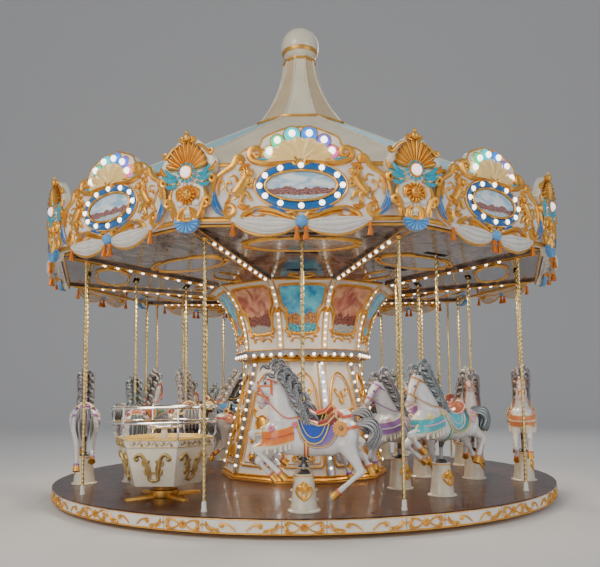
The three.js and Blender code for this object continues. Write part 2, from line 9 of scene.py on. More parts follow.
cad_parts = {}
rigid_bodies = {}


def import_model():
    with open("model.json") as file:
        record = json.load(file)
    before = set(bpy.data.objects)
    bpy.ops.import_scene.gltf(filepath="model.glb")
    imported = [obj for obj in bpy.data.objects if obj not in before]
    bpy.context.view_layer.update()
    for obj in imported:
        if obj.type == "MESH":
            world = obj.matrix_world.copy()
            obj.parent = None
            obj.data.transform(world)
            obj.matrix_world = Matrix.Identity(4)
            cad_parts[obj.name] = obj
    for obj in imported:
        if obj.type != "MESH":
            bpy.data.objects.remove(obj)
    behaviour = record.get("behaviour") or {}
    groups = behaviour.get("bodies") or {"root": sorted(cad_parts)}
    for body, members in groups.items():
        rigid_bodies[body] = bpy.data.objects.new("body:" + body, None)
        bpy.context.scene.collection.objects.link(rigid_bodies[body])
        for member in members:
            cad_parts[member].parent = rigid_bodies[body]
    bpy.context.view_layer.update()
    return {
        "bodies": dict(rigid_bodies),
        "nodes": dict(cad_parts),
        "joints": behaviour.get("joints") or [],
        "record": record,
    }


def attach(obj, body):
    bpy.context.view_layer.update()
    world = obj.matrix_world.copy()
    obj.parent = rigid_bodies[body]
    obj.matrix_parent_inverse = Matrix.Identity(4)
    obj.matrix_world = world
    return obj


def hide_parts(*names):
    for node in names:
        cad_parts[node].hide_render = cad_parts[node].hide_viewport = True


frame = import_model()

TURN = "turntable"
TAU = 2 * math.pi
SIDES = 10
DECK = 0.240  # the deck's top face
FACES = [TAU * i / SIDES for i in range(SIDES)]
CORNERS = [TAU * (i + 0.5) / SIDES for i in range(SIDES)]


# ---- Surfaces -------------------------------------------------------------------------------------
class Form:
    """A surface as arrays: points, four- and three-sided faces, a flat (u, v) and a colour per point."""

    def __init__(self, v, q=None, t=None, uv=None, tint=None):
        self.v = np.asarray(v, float).reshape(-1, 3)
        self.q = np.zeros((0, 4), int) if q is None else np.asarray(q, int).reshape(-1, 4)
        self.t = np.zeros((0, 3), int) if t is None else np.asarray(t, int).reshape(-1, 3)
        self.uv = np.zeros((len(self.v), 2)) if uv is None else np.asarray(uv, float).reshape(-1, 2)
        self.tint = np.ones((len(self.v), 3)) if tint is None else tint

    def at(self, v):
        return Form(v, self.q, self.t, self.uv, self.tint)

    def moved(self, x=0.0, y=0.0, z=0.0):
        return self.at(self.v + [x, y, z])

    def spun(self, angle):
        """Turned about the mast by an angle: (x cos - y sin, x sin + y cos, z)."""
        c, s = math.cos(angle), math.sin(angle)
        return self.at(self.v @ np.array([[c, s, 0], [-s, c, 0], [0, 0, 1]]))

    def scaled(self, x=1.0, y=1.0, z=1.0):
        out = self.at(self.v * [x, y, z])
        return out.turned_out() if x * y * z < 0 else out

    def turned_out(self):
        return Form(self.v, self.q[:, ::-1], self.t[:, ::-1], self.uv, self.tint)

    def painted(self, colour):
        return Form(self.v, self.q, self.t, self.uv, np.tile(np.asarray(colour, float), (len(self.v), 1)))

    def outward(self):
        """The same closed surface with its faces turned out: its signed volume is made positive."""
        tris = np.vstack([self.t, self.q[:, [0, 1, 2]], self.q[:, [0, 2, 3]]])
        a, b, c = (self.v[tris[:, i]] for i in range(3))
        return self if np.einsum("ij,ij->", a, np.cross(b, c)) > 0 else self.turned_out()


def joined(forms):
    """Several surfaces as one, with the face numbers moved along."""
    forms = [f for f in forms if len(f.v)]
    start = np.cumsum([0] + [len(f.v) for f in forms])
    return Form(
        np.vstack([f.v for f in forms]),
        np.vstack([f.q + s for f, s in zip(forms, start)]),
        np.vstack([f.t + s for f, s in zip(forms, start)]),
        np.vstack([f.uv for f in forms]),
        np.vstack([f.tint for f in forms]),
    )


def around(form, angles):
    """Copies of a form at each angle about the mast, as one form."""
    return joined([form.spun(a) for a in angles])


def pair(form):
    """A piece and its mirror image in the plane of the mast."""
    return joined([form, form.scaled(x=-1)])


def skin(rings, wrap=True, low="cap", high="cap"):
    """A grid of rings joined in order, closed round each ring if it wraps, and at its ends by fans."""
    rings = np.asarray(rings, float)
    n, m = rings.shape[:2]
    i, j = np.meshgrid(np.arange(n - 1), np.arange(m if wrap else m - 1), indexing="ij")
    k = (j + 1) % m
    quads = np.stack([i * m + j, i * m + k, (i + 1) * m + k, (i + 1) * m + j], -1).reshape(-1, 4)
    u, v = np.meshgrid(np.linspace(0, 1, m), np.linspace(0, 1, n))
    uv = np.stack([u, v], -1).reshape(-1, 2)
    points, tris = rings.reshape(-1, 3), np.zeros((0, 3), int)
    for end, row, flip in ((low, 0, True), (high, n - 1, False)):
        if wrap and end == "cap":
            centre = len(points)
            points = np.vstack([points, rings[row].mean(0)])
            uv = np.vstack([uv, [0.5, float(row > 0)]])
            edge = row * m + np.arange(m)
            fan = np.stack([edge, np.roll(edge, -1), np.full(m, centre)], -1)
            tris = np.vstack([tris, fan[:, ::-1] if flip else fan])
    form = Form(points, quads, tris, uv)
    return form.outward() if wrap and low == high == "cap" else form


def tube(path, radius, sides=8, flat=1.0, up=(0, 0, 1)):
    """A round or flattened section carried along a path; flat is its height over its width."""
    path = np.asarray(path, float)
    along = np.gradient(path, axis=0)
    along /= np.linalg.norm(along, axis=1, keepdims=True) + 1e-12
    side = np.cross(along, np.asarray(up, float))
    side /= np.linalg.norm(side, axis=1, keepdims=True) + 1e-9
    over = np.cross(side, along)
    a = TAU * np.arange(sides) / sides
    r = np.broadcast_to(np.asarray(radius, float), (len(path),))[:, None, None]
    section = np.cos(a)[None, :, None] * side[:, None] + flat * np.sin(a)[None, :, None] * over[:, None]
    return skin(path[:, None] + r * section, low="cap", high="cap")


def lathe(profile, sides=32):
    """A profile of (radius, height) turned about the mast: (r sin a, -r cos a, height)."""
    profile = np.asarray(profile, float)
    a = TAU * np.arange(sides) / sides
    r = np.repeat(profile[:, :1], sides, 1)
    rings = np.stack([r * np.sin(a), -r * np.cos(a), np.repeat(profile[:, 1:], sides, 1)], -1)
    return skin(rings)


def sided(profile, across=4):
    """A profile of (corner radius, height) with ten flat sides, each split into strips across."""
    t = np.linspace(-0.5, 0.5, across + 1)[:-1]
    spot = np.concatenate([a + 0 * t for a in FACES])
    off = np.tile(t * 2 * math.tan(TAU / SIDES / 2), SIDES)
    x = np.sin(spot) + off * np.cos(spot)
    y = -np.cos(spot) + off * np.sin(spot)
    r = np.asarray(profile, float)[:, :1] * math.cos(TAU / SIDES / 2)
    z = np.repeat(np.asarray(profile, float)[:, 1:], len(x), 1)
    return skin(np.stack([r * x, r * y, z], -1), low="open", high="open")


def loop_skin(profile, across=4):
    """A ten-sided wall whose profile closes on itself."""
    return sided(list(profile) + [profile[0]], across)


def ball(centre, radii, around_=16, rows=9):
    """An ellipsoid: centre + radii * (sin b cos a, sin b sin a, cos b)."""
    b = np.linspace(0.06, math.pi - 0.06, rows)[:, None]
    a = TAU * np.arange(around_)[None] / around_
    p = np.stack([np.sin(b) * np.cos(a), np.sin(b) * np.sin(a), np.cos(b) + 0 * a], -1)
    return skin(np.asarray(centre) + np.broadcast_to(radii, (3,)) * p)


def smooth_path(points, count=24):
    """A smooth curve through points: a Catmull-Rom spline sampled evenly in its own parameter."""
    p = np.asarray(points, float)
    p = np.vstack([2 * p[0] - p[1], p, 2 * p[-1] - p[-2]])
    s = np.linspace(0, len(p) - 3 - 1e-9, count)
    i = s.astype(int)
    t = (s - i)[:, None]
    a, b, c, d = (p[i + k] for k in range(4))
    return 0.5 * (2 * b + (c - a) * t + (2 * a - 5 * b + 4 * c - d) * t**2 + (3 * b - a - 3 * c + d) * t**3)


def closed_curve(points, count=96):
    """A smooth closed curve through corner points."""
    p = np.asarray(points, float)
    n = len(p)
    s = np.linspace(0, n, count, endpoint=False)
    i = s.astype(int)
    t = (s - i)[:, None]
    a, b, c, d = (p[(i + k - 1) % n] for k in range(4))
    return 0.5 * (2 * b + (c - a) * t + (2 * a - 5 * b + 4 * c - d) * t**2 + (3 * b - a - 3 * c + d) * t**3)


def volute(centre, radius, turns, start, sense=1, count=22):
    """A spiral that winds in: radius * (1 - s)^0.8, angle start + sense * turns * s. As (x, z)."""
    s = np.linspace(0, 1, count)
    r = radius * (1 - 0.86 * s) ** 0.8
    a = start + sense * TAU * turns * s
    return np.stack([centre[0] + r * np.cos(a), centre[1] + r * np.sin(a)], -1)


def scroll(points, radius=0.02, depth=0.0, curl=None, flat=1.1, sides=7, count=22):
    """A tapering rod along (x, z) points on a board facing the front, winding into a volute at its end."""
    path = smooth_path(points, count)
    if curl:
        r, turns, sense = curl
        step = path[-1] - path[-2]
        heading = math.atan2(step[1], step[0])
        start = heading - sense * math.pi / 2
        centre = path[-1] - r * np.array([math.cos(start), math.sin(start)])
        path = np.vstack([path, volute(centre, r, turns, start, sense)[1:]])
    n = len(path)
    s = np.linspace(0, 1, n)
    swell = radius * (0.35 + 0.65 * np.sin(np.pi * np.clip(s * 0.9 + 0.08, 0, 1)) ** 0.7)
    if curl:
        swell[-4:] = radius * np.array([0.6, 0.75, 0.9, 0.95])
    p3 = np.stack([path[:, 0], -depth + 0 * s, path[:, 1]], -1)
    return tube(p3, swell, sides, flat, up=(0, 1, 0))


def leaf(points, width, depth=0.0, thickness=0.02, lobes=0, count=14, across=7):
    """A pointed leaf along (x, z) points: half width sin(pi s)^0.7, crowned, with a notched edge."""
    mid = smooth_path(points, count)
    s = np.linspace(0, 1, count)
    along = np.gradient(mid, axis=0)
    along /= np.linalg.norm(along, axis=1, keepdims=True)
    side = np.stack([-along[:, 1], along[:, 0]], -1)
    half = width * np.sin(np.pi * np.clip(s, 0.02, 0.985)) ** 0.7
    if lobes:
        half = half * (0.8 + 0.25 * np.abs(np.sin(np.pi * lobes * s)))
    e = np.linspace(-1, 1, across)
    flat = mid[:, None] + (half[:, None] * e)[..., None] * side[:, None]
    rise = thickness * (1 - e**2)[None] ** 0.5 * np.sin(np.pi * s)[:, None] ** 0.5
    rise = rise * (1 - 0.35 * (np.abs(e) < 0.2))[None]
    front = np.stack([flat[..., 0], -depth - rise, flat[..., 1]], -1)
    back = np.stack([flat[..., 0], -depth + 0.004 + 0 * rise, flat[..., 1]], -1)[:, 1:-1][:, ::-1]
    return skin(np.concatenate([front, back], 1))


def board(outline, depth, thickness, crown=0.0, bevel=0.012, rings=3):
    """A plate cut to a closed (x, z) outline, bevelled at its front edge and crowned to its middle."""
    outline = np.asarray(outline, float)
    middle = outline.mean(0)
    reach = np.linalg.norm(outline - middle, axis=1, keepdims=True)
    inset = middle + (outline - middle) * (1 - bevel / reach)
    layers = [(middle + (outline - middle) * 0.5, depth), (outline, depth),
              (outline, depth + thickness - bevel)]
    layers += [(middle + (inset - middle) * k, depth + thickness + crown * (1 - k**2))
               for k in np.linspace(1, 0.02, rings)]
    return skin([np.stack([p[:, 0], np.full(len(p), -d), p[:, 1]], -1) for p, d in layers])


def ellipse(rx, rz, centre=(0, 0), count=64):
    """A closed curve of (x, z): centre + (rx cos a, rz sin a)."""
    a = TAU * np.arange(count) / count
    return np.stack([centre[0] + rx * np.cos(a), centre[1] + rz * np.sin(a)], -1)


def hoop(path2, radius, depth, sides=8, flat=1.0):
    """A rod that follows a closed (x, z) curve on a board."""
    p = np.asarray(path2, float)
    along = np.roll(p, -1, 0) - np.roll(p, 1, 0)
    along /= np.linalg.norm(along, axis=1, keepdims=True)
    out = np.stack([along[:, 1], -along[:, 0]], -1)
    a = TAU * np.arange(sides) / sides
    x = p[:, None, 0] + radius * np.cos(a) * out[:, None, 0]
    z = p[:, None, 1] + radius * np.cos(a) * out[:, None, 1]
    y = -depth - radius * flat * np.sin(a)[None] + 0 * x
    rings = np.stack([x, y, z], -1)
    return skin(np.vstack([rings, rings[:1]]), low="open", high="open").outward()


def put(name, parts, body=TURN, replaces=(), slot=None, crease=40):
    """Makes one object of (form, material) parts, parents it to what it rides on, and hides the parts it
    replaces.
    """
    mesh = bpy.data.meshes.new(name)
    start, corners, counts, mats = 0, [], [], []
    for k, (form, _) in enumerate(parts):
        corners += [form.q.ravel() + start, form.t.ravel() + start]
        counts += [np.full(len(form.q), 4), np.full(len(form.t), 3)]
        mats += [np.full(len(form.q) + len(form.t), k)]
        start += len(form.v)
    corners, counts = np.concatenate(corners).astype(np.int32), np.concatenate(counts)
    points = np.vstack([form.v for form, _ in parts])
    mesh.vertices.add(len(points))
    mesh.vertices.foreach_set("co", points.astype(np.float32).ravel())
    mesh.loops.add(len(corners))
    mesh.loops.foreach_set("vertex_index", corners)
    mesh.polygons.add(len(counts))
    mesh.polygons.foreach_set("loop_start", (np.cumsum(counts) - counts).astype(np.int32))
    mesh.polygons.foreach_set("material_index", np.concatenate(mats).astype(np.int32))
    mesh.polygons.foreach_set("use_smooth", np.ones(len(counts), bool))
    flat = np.vstack([form.uv for form, _ in parts])
    mesh.uv_layers.new(name="UVMap").data.foreach_set("uv", flat[corners].astype(np.float32).ravel())
    tint = mesh.color_attributes.new(name="Tint", type="FLOAT_COLOR", domain="POINT")
    paint = np.hstack([np.vstack([form.tint for form, _ in parts]), np.ones((len(points), 1))])
    tint.data.foreach_set("color", paint.astype(np.float32).ravel())
    for _, material in parts:
        mesh.materials.append(material)
    mesh.update(calc_edges=True)
    mesh.set_sharp_from_angle(angle=math.radians(crease))
    obj = bpy.data.objects.new(name, mesh)
    bpy.context.scene.collection.objects.link(obj)
    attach(obj, body)
    if replaces:
        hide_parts(*replaces)
    return obj


# ---- Camera, floor and light ----------------------------------------------------------------------
def make_camera():
    """Stands 11.07 m in front at eye height, pitched up, with the lens raised to frame the spire."""
    data = bpy.data.cameras.new("camera")
    data.sensor_width = 36.0
    data.lens = 38.57
    data.shift_y = 0.0953
    data.clip_end = 200
    camera = bpy.data.objects.new("camera", data)
    pitch, roll, yaw = 0.0809, -0.0090, 0.0040
    turn = Matrix.Rotation(yaw, 4, "Z") @ Matrix.Rotation(math.pi / 2 + pitch, 4, "X")
    camera.matrix_world = Matrix.Translation((0.0, -11.074, 1.595)) @ turn @ Matrix.Rotation(roll, 4, "Z")
    bpy.context.scene.collection.objects.link(camera)
    bpy.context.scene.camera = camera


def make_stage():
    """A wide plain floor that curves up far behind into a pale wall."""
    s = np.linspace(0, 1, 24)
    y = np.concatenate([[-60.0, 20.0], 20 + 14 * np.sin(s * math.pi / 2), [34.0]])
    z = np.concatenate([[0.0, 0.0], 14 * (1 - np.cos(s * math.pi / 2)), [60.0]])
    x = np.linspace(-80, 80, 3)
    rows = np.stack([np.repeat(x[None], len(y), 0), np.repeat(y[:, None], 3, 1), np.repeat(z[:, None], 3, 1)],
                    -1)
    form = skin(rows - [0, 0, 0.001], wrap=False)
    mesh = bpy.data.meshes.new("floor")
    mesh.from_pydata(form.v.tolist(), [], form.q.tolist())
    mesh.polygons.foreach_set("use_smooth", np.ones(len(form.q), bool))
    floor = bpy.data.objects.new("floor", mesh)
    bpy.context.scene.collection.objects.link(floor)
    paint = bpy.data.materials.new("floor_paint")
    paint.use_nodes = True
    shader = paint.node_tree.nodes["Principled BSDF"]
    shader.inputs["Base Color"].default_value = (0.80, 0.79, 0.77, 1)
    shader.inputs["Roughness"].default_value = 0.75
    mesh.materials.append(paint)


def make_light(name, place, aim, size, watts, colour=(1, 1, 1)):
    """A round area light at a place, turned to face its aim."""
    data = bpy.data.lights.new(name, "AREA")
    data.shape, data.size, data.energy, data.color = "DISK", size, watts, colour
    lamp = bpy.data.objects.new(name, data)
    lamp.location = place
    lamp.rotation_euler = (Vector(aim) - Vector(place)).to_track_quat("-Z", "Y").to_euler()
    bpy.context.scene.collection.objects.link(lamp)


def make_lights():
    """Large soft lights in front and to the sides, a low fill for the underside, and a pale sky."""
    make_light("key", (-8, -13, 11), (0, 0, 3.2), 8, 900, (1.0, 0.95, 0.87))
    make_light("fill", (11, -11, 6), (0, 0, 3), 9, 430, (0.93, 0.96, 1.0))
    make_light("back", (3, 12, 12), (0, 0, 5), 8, 520)
    make_light("low_front", (-5, -12, 1.5), (0, 0, 3.0), 7, 260, (1.0, 0.94, 0.86))
    for i, angle in enumerate(FACES[::2]):
        place = (2.6 * math.sin(angle + 0.3), -2.6 * math.cos(angle + 0.3), 3.15)
        make_light(f"canopy_{i + 1}", place, (place[0], place[1], 0.3), 1.2, 48, (1.0, 0.86, 0.68))
    world = bpy.data.worlds.new("sky")
    world.use_nodes = True
    world.node_tree.nodes["Background"].inputs["Color"].default_value = (0.90, 0.93, 1.0, 1)
    world.node_tree.nodes["Background"].inputs["Strength"].default_value = 0.36
    bpy.context.scene.world = world


make_camera()
make_stage()
make_lights()


# ---- Finishes -------------------------------------------------------------------------------------
def wire(tree, kind, values=None, **links):
    """Adds a node, sets its properties or sockets from values, and links its named inputs."""
    node = tree.nodes.new(kind)
    for key, value in (values or {}).items():
        if isinstance(key, int) or key in node.inputs:
            node.inputs[key].default_value = value
        else:
            setattr(node, key, value)
    for key, source in links.items():
        tree.links.new(source, node.inputs[int(key[1:]) if key[1:].isdigit() else key.replace("_", " ")])
    return node


def ramp(tree, source, stops):
    """A colour ramp with stops of (position, colour)."""
    node = wire(tree, "ShaderNodeValToRGB", n0=source)
    while len(node.color_ramp.elements) < len(stops):
        node.color_ramp.elements.new(0.5)
    for element, (spot, colour) in zip(node.color_ramp.elements, stops):
        element.position = spot
        element.color = (*colour, 1.0) if len(colour) == 3 else colour
    return node.outputs["Color"]


def blend(tree, how, factor, a, b):
    """Mixes two colours; factor, a and b are sockets or plain values."""
    node = wire(tree, "ShaderNodeMix", {"data_type": "RGBA", "blend_type": how})
    for index, value in ((0, factor), (6, a), (7, b)):
        if isinstance(value, bpy.types.NodeSocket):
            tree.links.new(value, node.inputs[index])
        else:
            node.inputs[index].default_value = value if index == 0 else (*value[:3], 1.0)
    return node.outputs[2]


def calc(tree, how, a, b=0.0, c=0.0):
    """The output of a Math node fed with numbers or sockets."""
    node = wire(tree, "ShaderNodeMath", {"operation": how})
    for index, value in enumerate((a, b, c)):
        if isinstance(value, bpy.types.NodeSocket):
            tree.links.new(value, node.inputs[index])
        else:
            node.inputs[index].default_value = value
    return node.outputs[0]


def group(name, inputs, outputs, build):
    """A shader node group with named sockets, filled in by build(tree, input sockets)."""
    tree = bpy.data.node_groups.new(name, "ShaderNodeTree")
    kinds = {"c": "NodeSocketColor", "f": "NodeSocketFloat", "v": "NodeSocketVector"}
    for label, kind in inputs:
        tree.interface.new_socket(label, in_out="INPUT", socket_type=kinds[kind])
    for label, kind in outputs:
        tree.interface.new_socket(label, in_out="OUTPUT", socket_type=kinds[kind])
    inside, outside = tree.nodes.new("NodeGroupInput"), tree.nodes.new("NodeGroupOutput")
    made = build(tree, inside.outputs)
    for label, socket in made.items():
        tree.links.new(socket, outside.inputs[label])
    return tree


def build_glaze(tree, given):
    """Painted gloss: broad tone changes, dirt and painted shade darkening the hollows, worn edges and fine
    orange peel.
    """
    broad = wire(tree, "ShaderNodeTexNoise", {"Detail": 4.0}, Vector=given["Vector"], Scale=given["Scale"])
    fine = wire(tree, "ShaderNodeTexNoise", {"Scale": 160.0, "Detail": 2.0}, Vector=given["Vector"])
    hollow = wire(tree, "ShaderNodeNewGeometry").outputs["Pointiness"]
    # The hollows (low pointiness) darken towards the second colour: dirt, and painted shade.
    dust_and_shade = ramp(tree, hollow, [(0.40, (1, 1, 1)), (0.495, (0, 0, 0))])
    edge = ramp(tree, hollow, [(0.53, (0, 0, 0)), (0.64, (1, 1, 1))])
    tone = ramp(tree, broad.outputs[0], [(0.3, (0.82, 0.82, 0.82)), (0.65, (1.06, 1.06, 1.06))])
    colour = blend(tree, "MULTIPLY", 0.55, given["Colour"], tone)
    colour = blend(tree, "MIX", calc(tree, "MULTIPLY", dust_and_shade, given["Grime"]), colour, given["Grime Colour"])
    colour = blend(tree, "MIX", calc(tree, "MULTIPLY", edge, 0.07), colour, (0.95, 0.93, 0.88))
    rough = calc(tree, "MULTIPLY_ADD", broad.outputs[0], 0.22,
                 calc(tree, "SUBTRACT", given["Roughness"], 0.10))
    bump = wire(tree, "ShaderNodeBump", {"Strength": 0.12, "Distance": 0.002}, Height=fine.outputs[0])
    return {"Color": colour, "Roughness": rough, "Normal": bump.outputs[0]}


def build_leafing(tree, given):
    """Gold leaf on carved work: crests in the plain leaf colour, painted shade darkening the hollows to brown,
    brushed patches and crinkles.
    """
    patch = wire(tree, "ShaderNodeTexNoise", {"Scale": 9.0, "Detail": 5.0}, Vector=given["Vector"])
    crinkle = wire(tree, "ShaderNodeTexNoise", {"Scale": 90.0, "Detail": 4.0}, Vector=given["Vector"])
    hollow = wire(tree, "ShaderNodeNewGeometry").outputs["Pointiness"]
    # shade is painted shade: the hollows (low pointiness) turn to the darker second colour.
    shade = ramp(tree, hollow, [(0.42, (1, 1, 1)), (0.51, (0, 0, 0))])
    light = ramp(tree, patch.outputs[0], [(0.35, (0.72, 0.62, 0.5)), (0.7, (1.15, 1.12, 1.05))])
    colour = blend(tree, "MULTIPLY", 0.6, given["Colour"], light)
    colour = blend(tree, "MIX", calc(tree, "MULTIPLY", shade, 0.75), colour, given["Hollow Shade Colour"])
    rough = calc(tree, "MULTIPLY_ADD", crinkle.outputs[0], 0.3, given["Roughness"])
    bump = wire(tree, "ShaderNodeBump", {"Strength": 0.25, "Distance": 0.003}, Height=crinkle.outputs[0])
    return {"Color": colour, "Roughness": rough, "Normal": bump.outputs[0]}


# The glaze's amount and colour of darkening in hollows stand for dirt and painted shade together.
GLAZE = group("glaze", [("Vector", "v"), ("Colour", "c"), ("Grime Colour", "c"), ("Scale", "f"),
                        ("Grime", "f"), ("Roughness", "f")],
              [("Color", "c"), ("Roughness", "f"), ("Normal", "v")], build_glaze)
LEAFING = group("leafing", [("Vector", "v"), ("Colour", "c"), ("Hollow Shade Colour", "c"), ("Roughness", "f")],
                [("Color", "c"), ("Roughness", "f"), ("Normal", "v")], build_leafing)


def finish(name, metallic=0.0, coat=0.0, glow=0.0, sheen=0.0, specular=0.5):
    """A new material with its shader and its object coordinates."""
    material = bpy.data.materials.new(name)
    material.use_nodes = True
    tree = material.node_tree
    shader = tree.nodes["Principled BSDF"]
    shader.inputs["Metallic"].default_value = metallic
    shader.inputs["Coat Weight"].default_value = coat
    shader.inputs["Coat Roughness"].default_value = 0.08
    shader.inputs["Emission Strength"].default_value = glow
    shader.inputs["Sheen Weight"].default_value = sheen
    shader.inputs["Specular IOR Level"].default_value = specular
    where = tree.nodes.new("ShaderNodeTexCoord").outputs["Object"]
    return material, tree, shader, where


def lay(tree, shader, made):
    """Links a group's colour, roughness and normal to the shader."""
    tree.links.new(made.outputs["Color"], shader.inputs["Base Color"])
    tree.links.new(made.outputs["Roughness"], shader.inputs["Roughness"])
    tree.links.new(made.outputs["Normal"], shader.inputs["Normal"])


def place_group(tree, kind, where, colour, second, **values):
    """Puts a shared group into a material with its own colours and values."""
    node = tree.nodes.new("ShaderNodeGroup")
    node.node_tree = kind
    tree.links.new(where, node.inputs["Vector"])
    if isinstance(colour, bpy.types.NodeSocket):
        tree.links.new(colour, node.inputs["Colour"])
    else:
        node.inputs["Colour"].default_value = (*colour, 1)
    node.inputs["Hollow Shade Colour" if kind is LEAFING else "Grime Colour"].default_value = (*second, 1)
    for key, value in values.items():
        node.inputs[key].default_value = value
    return node


def enamel(name, colour, rough=0.28, dust_shade=0.35, scale=5.0, coat=0.6, dust_shade_colour=(0.30, 0.22, 0.15),
           glow=0.0):
    """Gloss paint of one colour, or of the surface's own Tint when colour is None."""
    material, tree, shader, where = finish(name, coat=coat, glow=glow)
    if colour is None:
        colour = wire(tree, "ShaderNodeVertexColor", {"layer_name": "Tint"}).outputs[0]
    # The hollows darken towards the second colour by the given amount: dirt, and painted shade.
    made = place_group(tree, GLAZE, where, colour, dust_shade_colour, Scale=scale, Grime=dust_shade, Roughness=rough)
    lay(tree, shader, made)
    if glow:
        tree.links.new(made.outputs["Color"], shader.inputs["Emission Color"])
    return material


def gilt(name, colour, hollow, rough=0.22, metallic=0.85):
    # hollow is the colour of the painted shade laid in the carving's hollows.
    material, tree, shader, where = finish(name, metallic=metallic)
    lay(tree, shader, place_group(tree, LEAFING, where, colour, hollow, Roughness=rough))
    return material


def metal(name, colour, rough, scale=40.0, stretch=(1, 1, 12), darks=0.25):
    """Bare metal with fine drawn lines, smears and a little tarnish."""
    material, tree, shader, where = finish(name, metallic=1.0)
    drawn = wire(tree, "ShaderNodeMapping", {"Scale": stretch}, Vector=where).outputs[0]
    lines = wire(tree, "ShaderNodeTexNoise", {"Scale": scale, "Detail": 3.0}, Vector=drawn)
    smear = wire(tree, "ShaderNodeTexNoise", {"Scale": 4.0, "Detail": 5.0}, Vector=where)
    dark = tuple(c * (1 - darks) for c in colour)
    tree.links.new(ramp(tree, smear.outputs[0], [(0.35, dark), (0.62, colour)]), shader.inputs["Base Color"])
    amount = calc(tree, "MULTIPLY_ADD", smear.outputs[0], 0.25, rough - 0.1)
    tree.links.new(amount, shader.inputs["Roughness"])
    bump = wire(tree, "ShaderNodeBump", {"Strength": 0.08, "Distance": 0.001}, Height=lines.outputs[0])
    tree.links.new(bump.outputs[0], shader.inputs["Normal"])
    return material


def polar(tree, where):
    """The angle about the mast from the front and the distance from it, in radians and metres."""
    parts = wire(tree, "ShaderNodeSeparateXYZ", Vector=where).outputs
    angle = calc(tree, "ARCTAN2", parts[0], calc(tree, "MULTIPLY", parts[1], -1.0))
    far = wire(tree, "ShaderNodeVectorMath", {"operation": "LENGTH"}, n0=wire(
        tree, "ShaderNodeVectorMath", {"operation": "MULTIPLY", 1: (1, 1, 0)},
            n0=where).outputs[0]).outputs["Value"]
    return angle, far, parts[2]


def stripes(tree, angle, count):
    """0 or 1 in turn round the mast: count pairs of sectors, the first centred on the front."""
    turned = calc(tree, "MULTIPLY_ADD", angle, 2 * count / TAU, 0.5 + 2 * count)
    return calc(tree, "MODULO", calc(tree, "FLOOR", turned), 2.0)


def deck_planks():
    """Dark varnished boards that run round the mast in rings, with end joints, grain and scuffs."""
    material, tree, shader, where = finish("deck_planks", coat=0.22, specular=0.35)
    angle, far, _ = polar(tree, where)
    ring = calc(tree, "MULTIPLY", far, 7.5)
    number = calc(tree, "FLOOR", ring)
    edge = calc(tree, "ABSOLUTE", calc(tree, "SUBTRACT", calc(tree, "FRACT", ring), 0.5))
    seam = ramp(tree, edge, [(0.470, (0, 0, 0)), (0.492, (1, 1, 1))])
    stretch = wire(tree, "ShaderNodeCombineXYZ", n0=calc(tree, "MULTIPLY", angle, 3.0),
                   n1=calc(tree, "MULTIPLY", far, 26.0), n2=number).outputs[0]
    grain = wire(tree, "ShaderNodeTexNoise", {"Scale": 2.2, "Detail": 7.0, "Distortion": 0.6}, Vector=stretch)
    each = wire(tree, "ShaderNodeTexWhiteNoise", {"noise_dimensions": "1D"}, W=number).outputs["Value"]
    wood = ramp(tree, grain.outputs[0], [(0.3, (0.030, 0.011, 0.009)), (0.55, (0.085, 0.030, 0.022)),
                                         (0.75, (0.14, 0.055, 0.038))])
    wood = blend(tree, "MULTIPLY", 0.5, wood,
                 ramp(tree, each, [(0.0, (0.6, 0.6, 0.6)), (1.0, (1.25, 1.2, 1.2))]))
    wood = blend(tree, "MIX", calc(tree, "MULTIPLY", seam, 0.8), wood, (0.010, 0.006, 0.005))
    scuff = wire(tree, "ShaderNodeTexNoise", {"Scale": 3.0, "Detail": 8.0, "Roughness": 0.7}, Vector=where)
    rough = calc(tree, "MULTIPLY_ADD", scuff.outputs[0], 0.20, 0.20)
    tree.links.new(wood, shader.inputs["Base Color"])
    tree.links.new(rough, shader.inputs["Roughness"])
    height = calc(tree, "SUBTRACT", calc(tree, "MULTIPLY", grain.outputs[0], 0.2), seam)
    bump = wire(tree, "ShaderNodeBump", {"Strength": 0.35, "Distance": 0.002}, Height=height)
    tree.links.new(bump.outputs[0], shader.inputs["Normal"])
    return material


def canvas(name, first, second, pairs, weave=220.0):
    """Coated canvas in two colours round the mast (two real paints on the roof; on the spire the second is
    painted shade), with weave, folds towards the eave and weather stains.
    """
    material, tree, shader, where = finish(name, sheen=0.15)
    angle, far, _ = polar(tree, where)
    pick = stripes(tree, angle, pairs)
    colour = blend(tree, "MIX", pick, first, second)
    stain = wire(tree, "ShaderNodeTexNoise", {"Scale": 1.6, "Detail": 8.0, "Roughness": 0.65}, Vector=where)
    tone = ramp(tree, stain.outputs[0], [(0.32, (0.80, 0.77, 0.70)), (0.60, (1.03, 1.03, 1.02))])
    colour = blend(tree, "MULTIPLY", 0.7, colour, tone)
    threads = wire(tree, "ShaderNodeTexWave", {"Scale": weave, "wave_type": "BANDS"}, Vector=where)
    pull = wire(tree, "ShaderNodeTexNoise", {"Scale": 5.0, "Detail": 3.0}, Vector=wire(
        tree, "ShaderNodeCombineXYZ", n0=calc(tree, "MULTIPLY", angle, 5.0), n1=far).outputs[0])
    height = calc(tree, "MULTIPLY_ADD", threads.outputs[1], 0.04, pull.outputs[0])
    bump = wire(tree, "ShaderNodeBump", {"Strength": 0.3, "Distance": 0.01}, Height=height)
    tree.links.new(colour, shader.inputs["Base Color"])
    tree.links.new(calc(tree, "MULTIPLY_ADD", stain.outputs[0], 0.3, 0.38), shader.inputs["Roughness"])
    tree.links.new(bump.outputs[0], shader.inputs["Normal"])
    return material


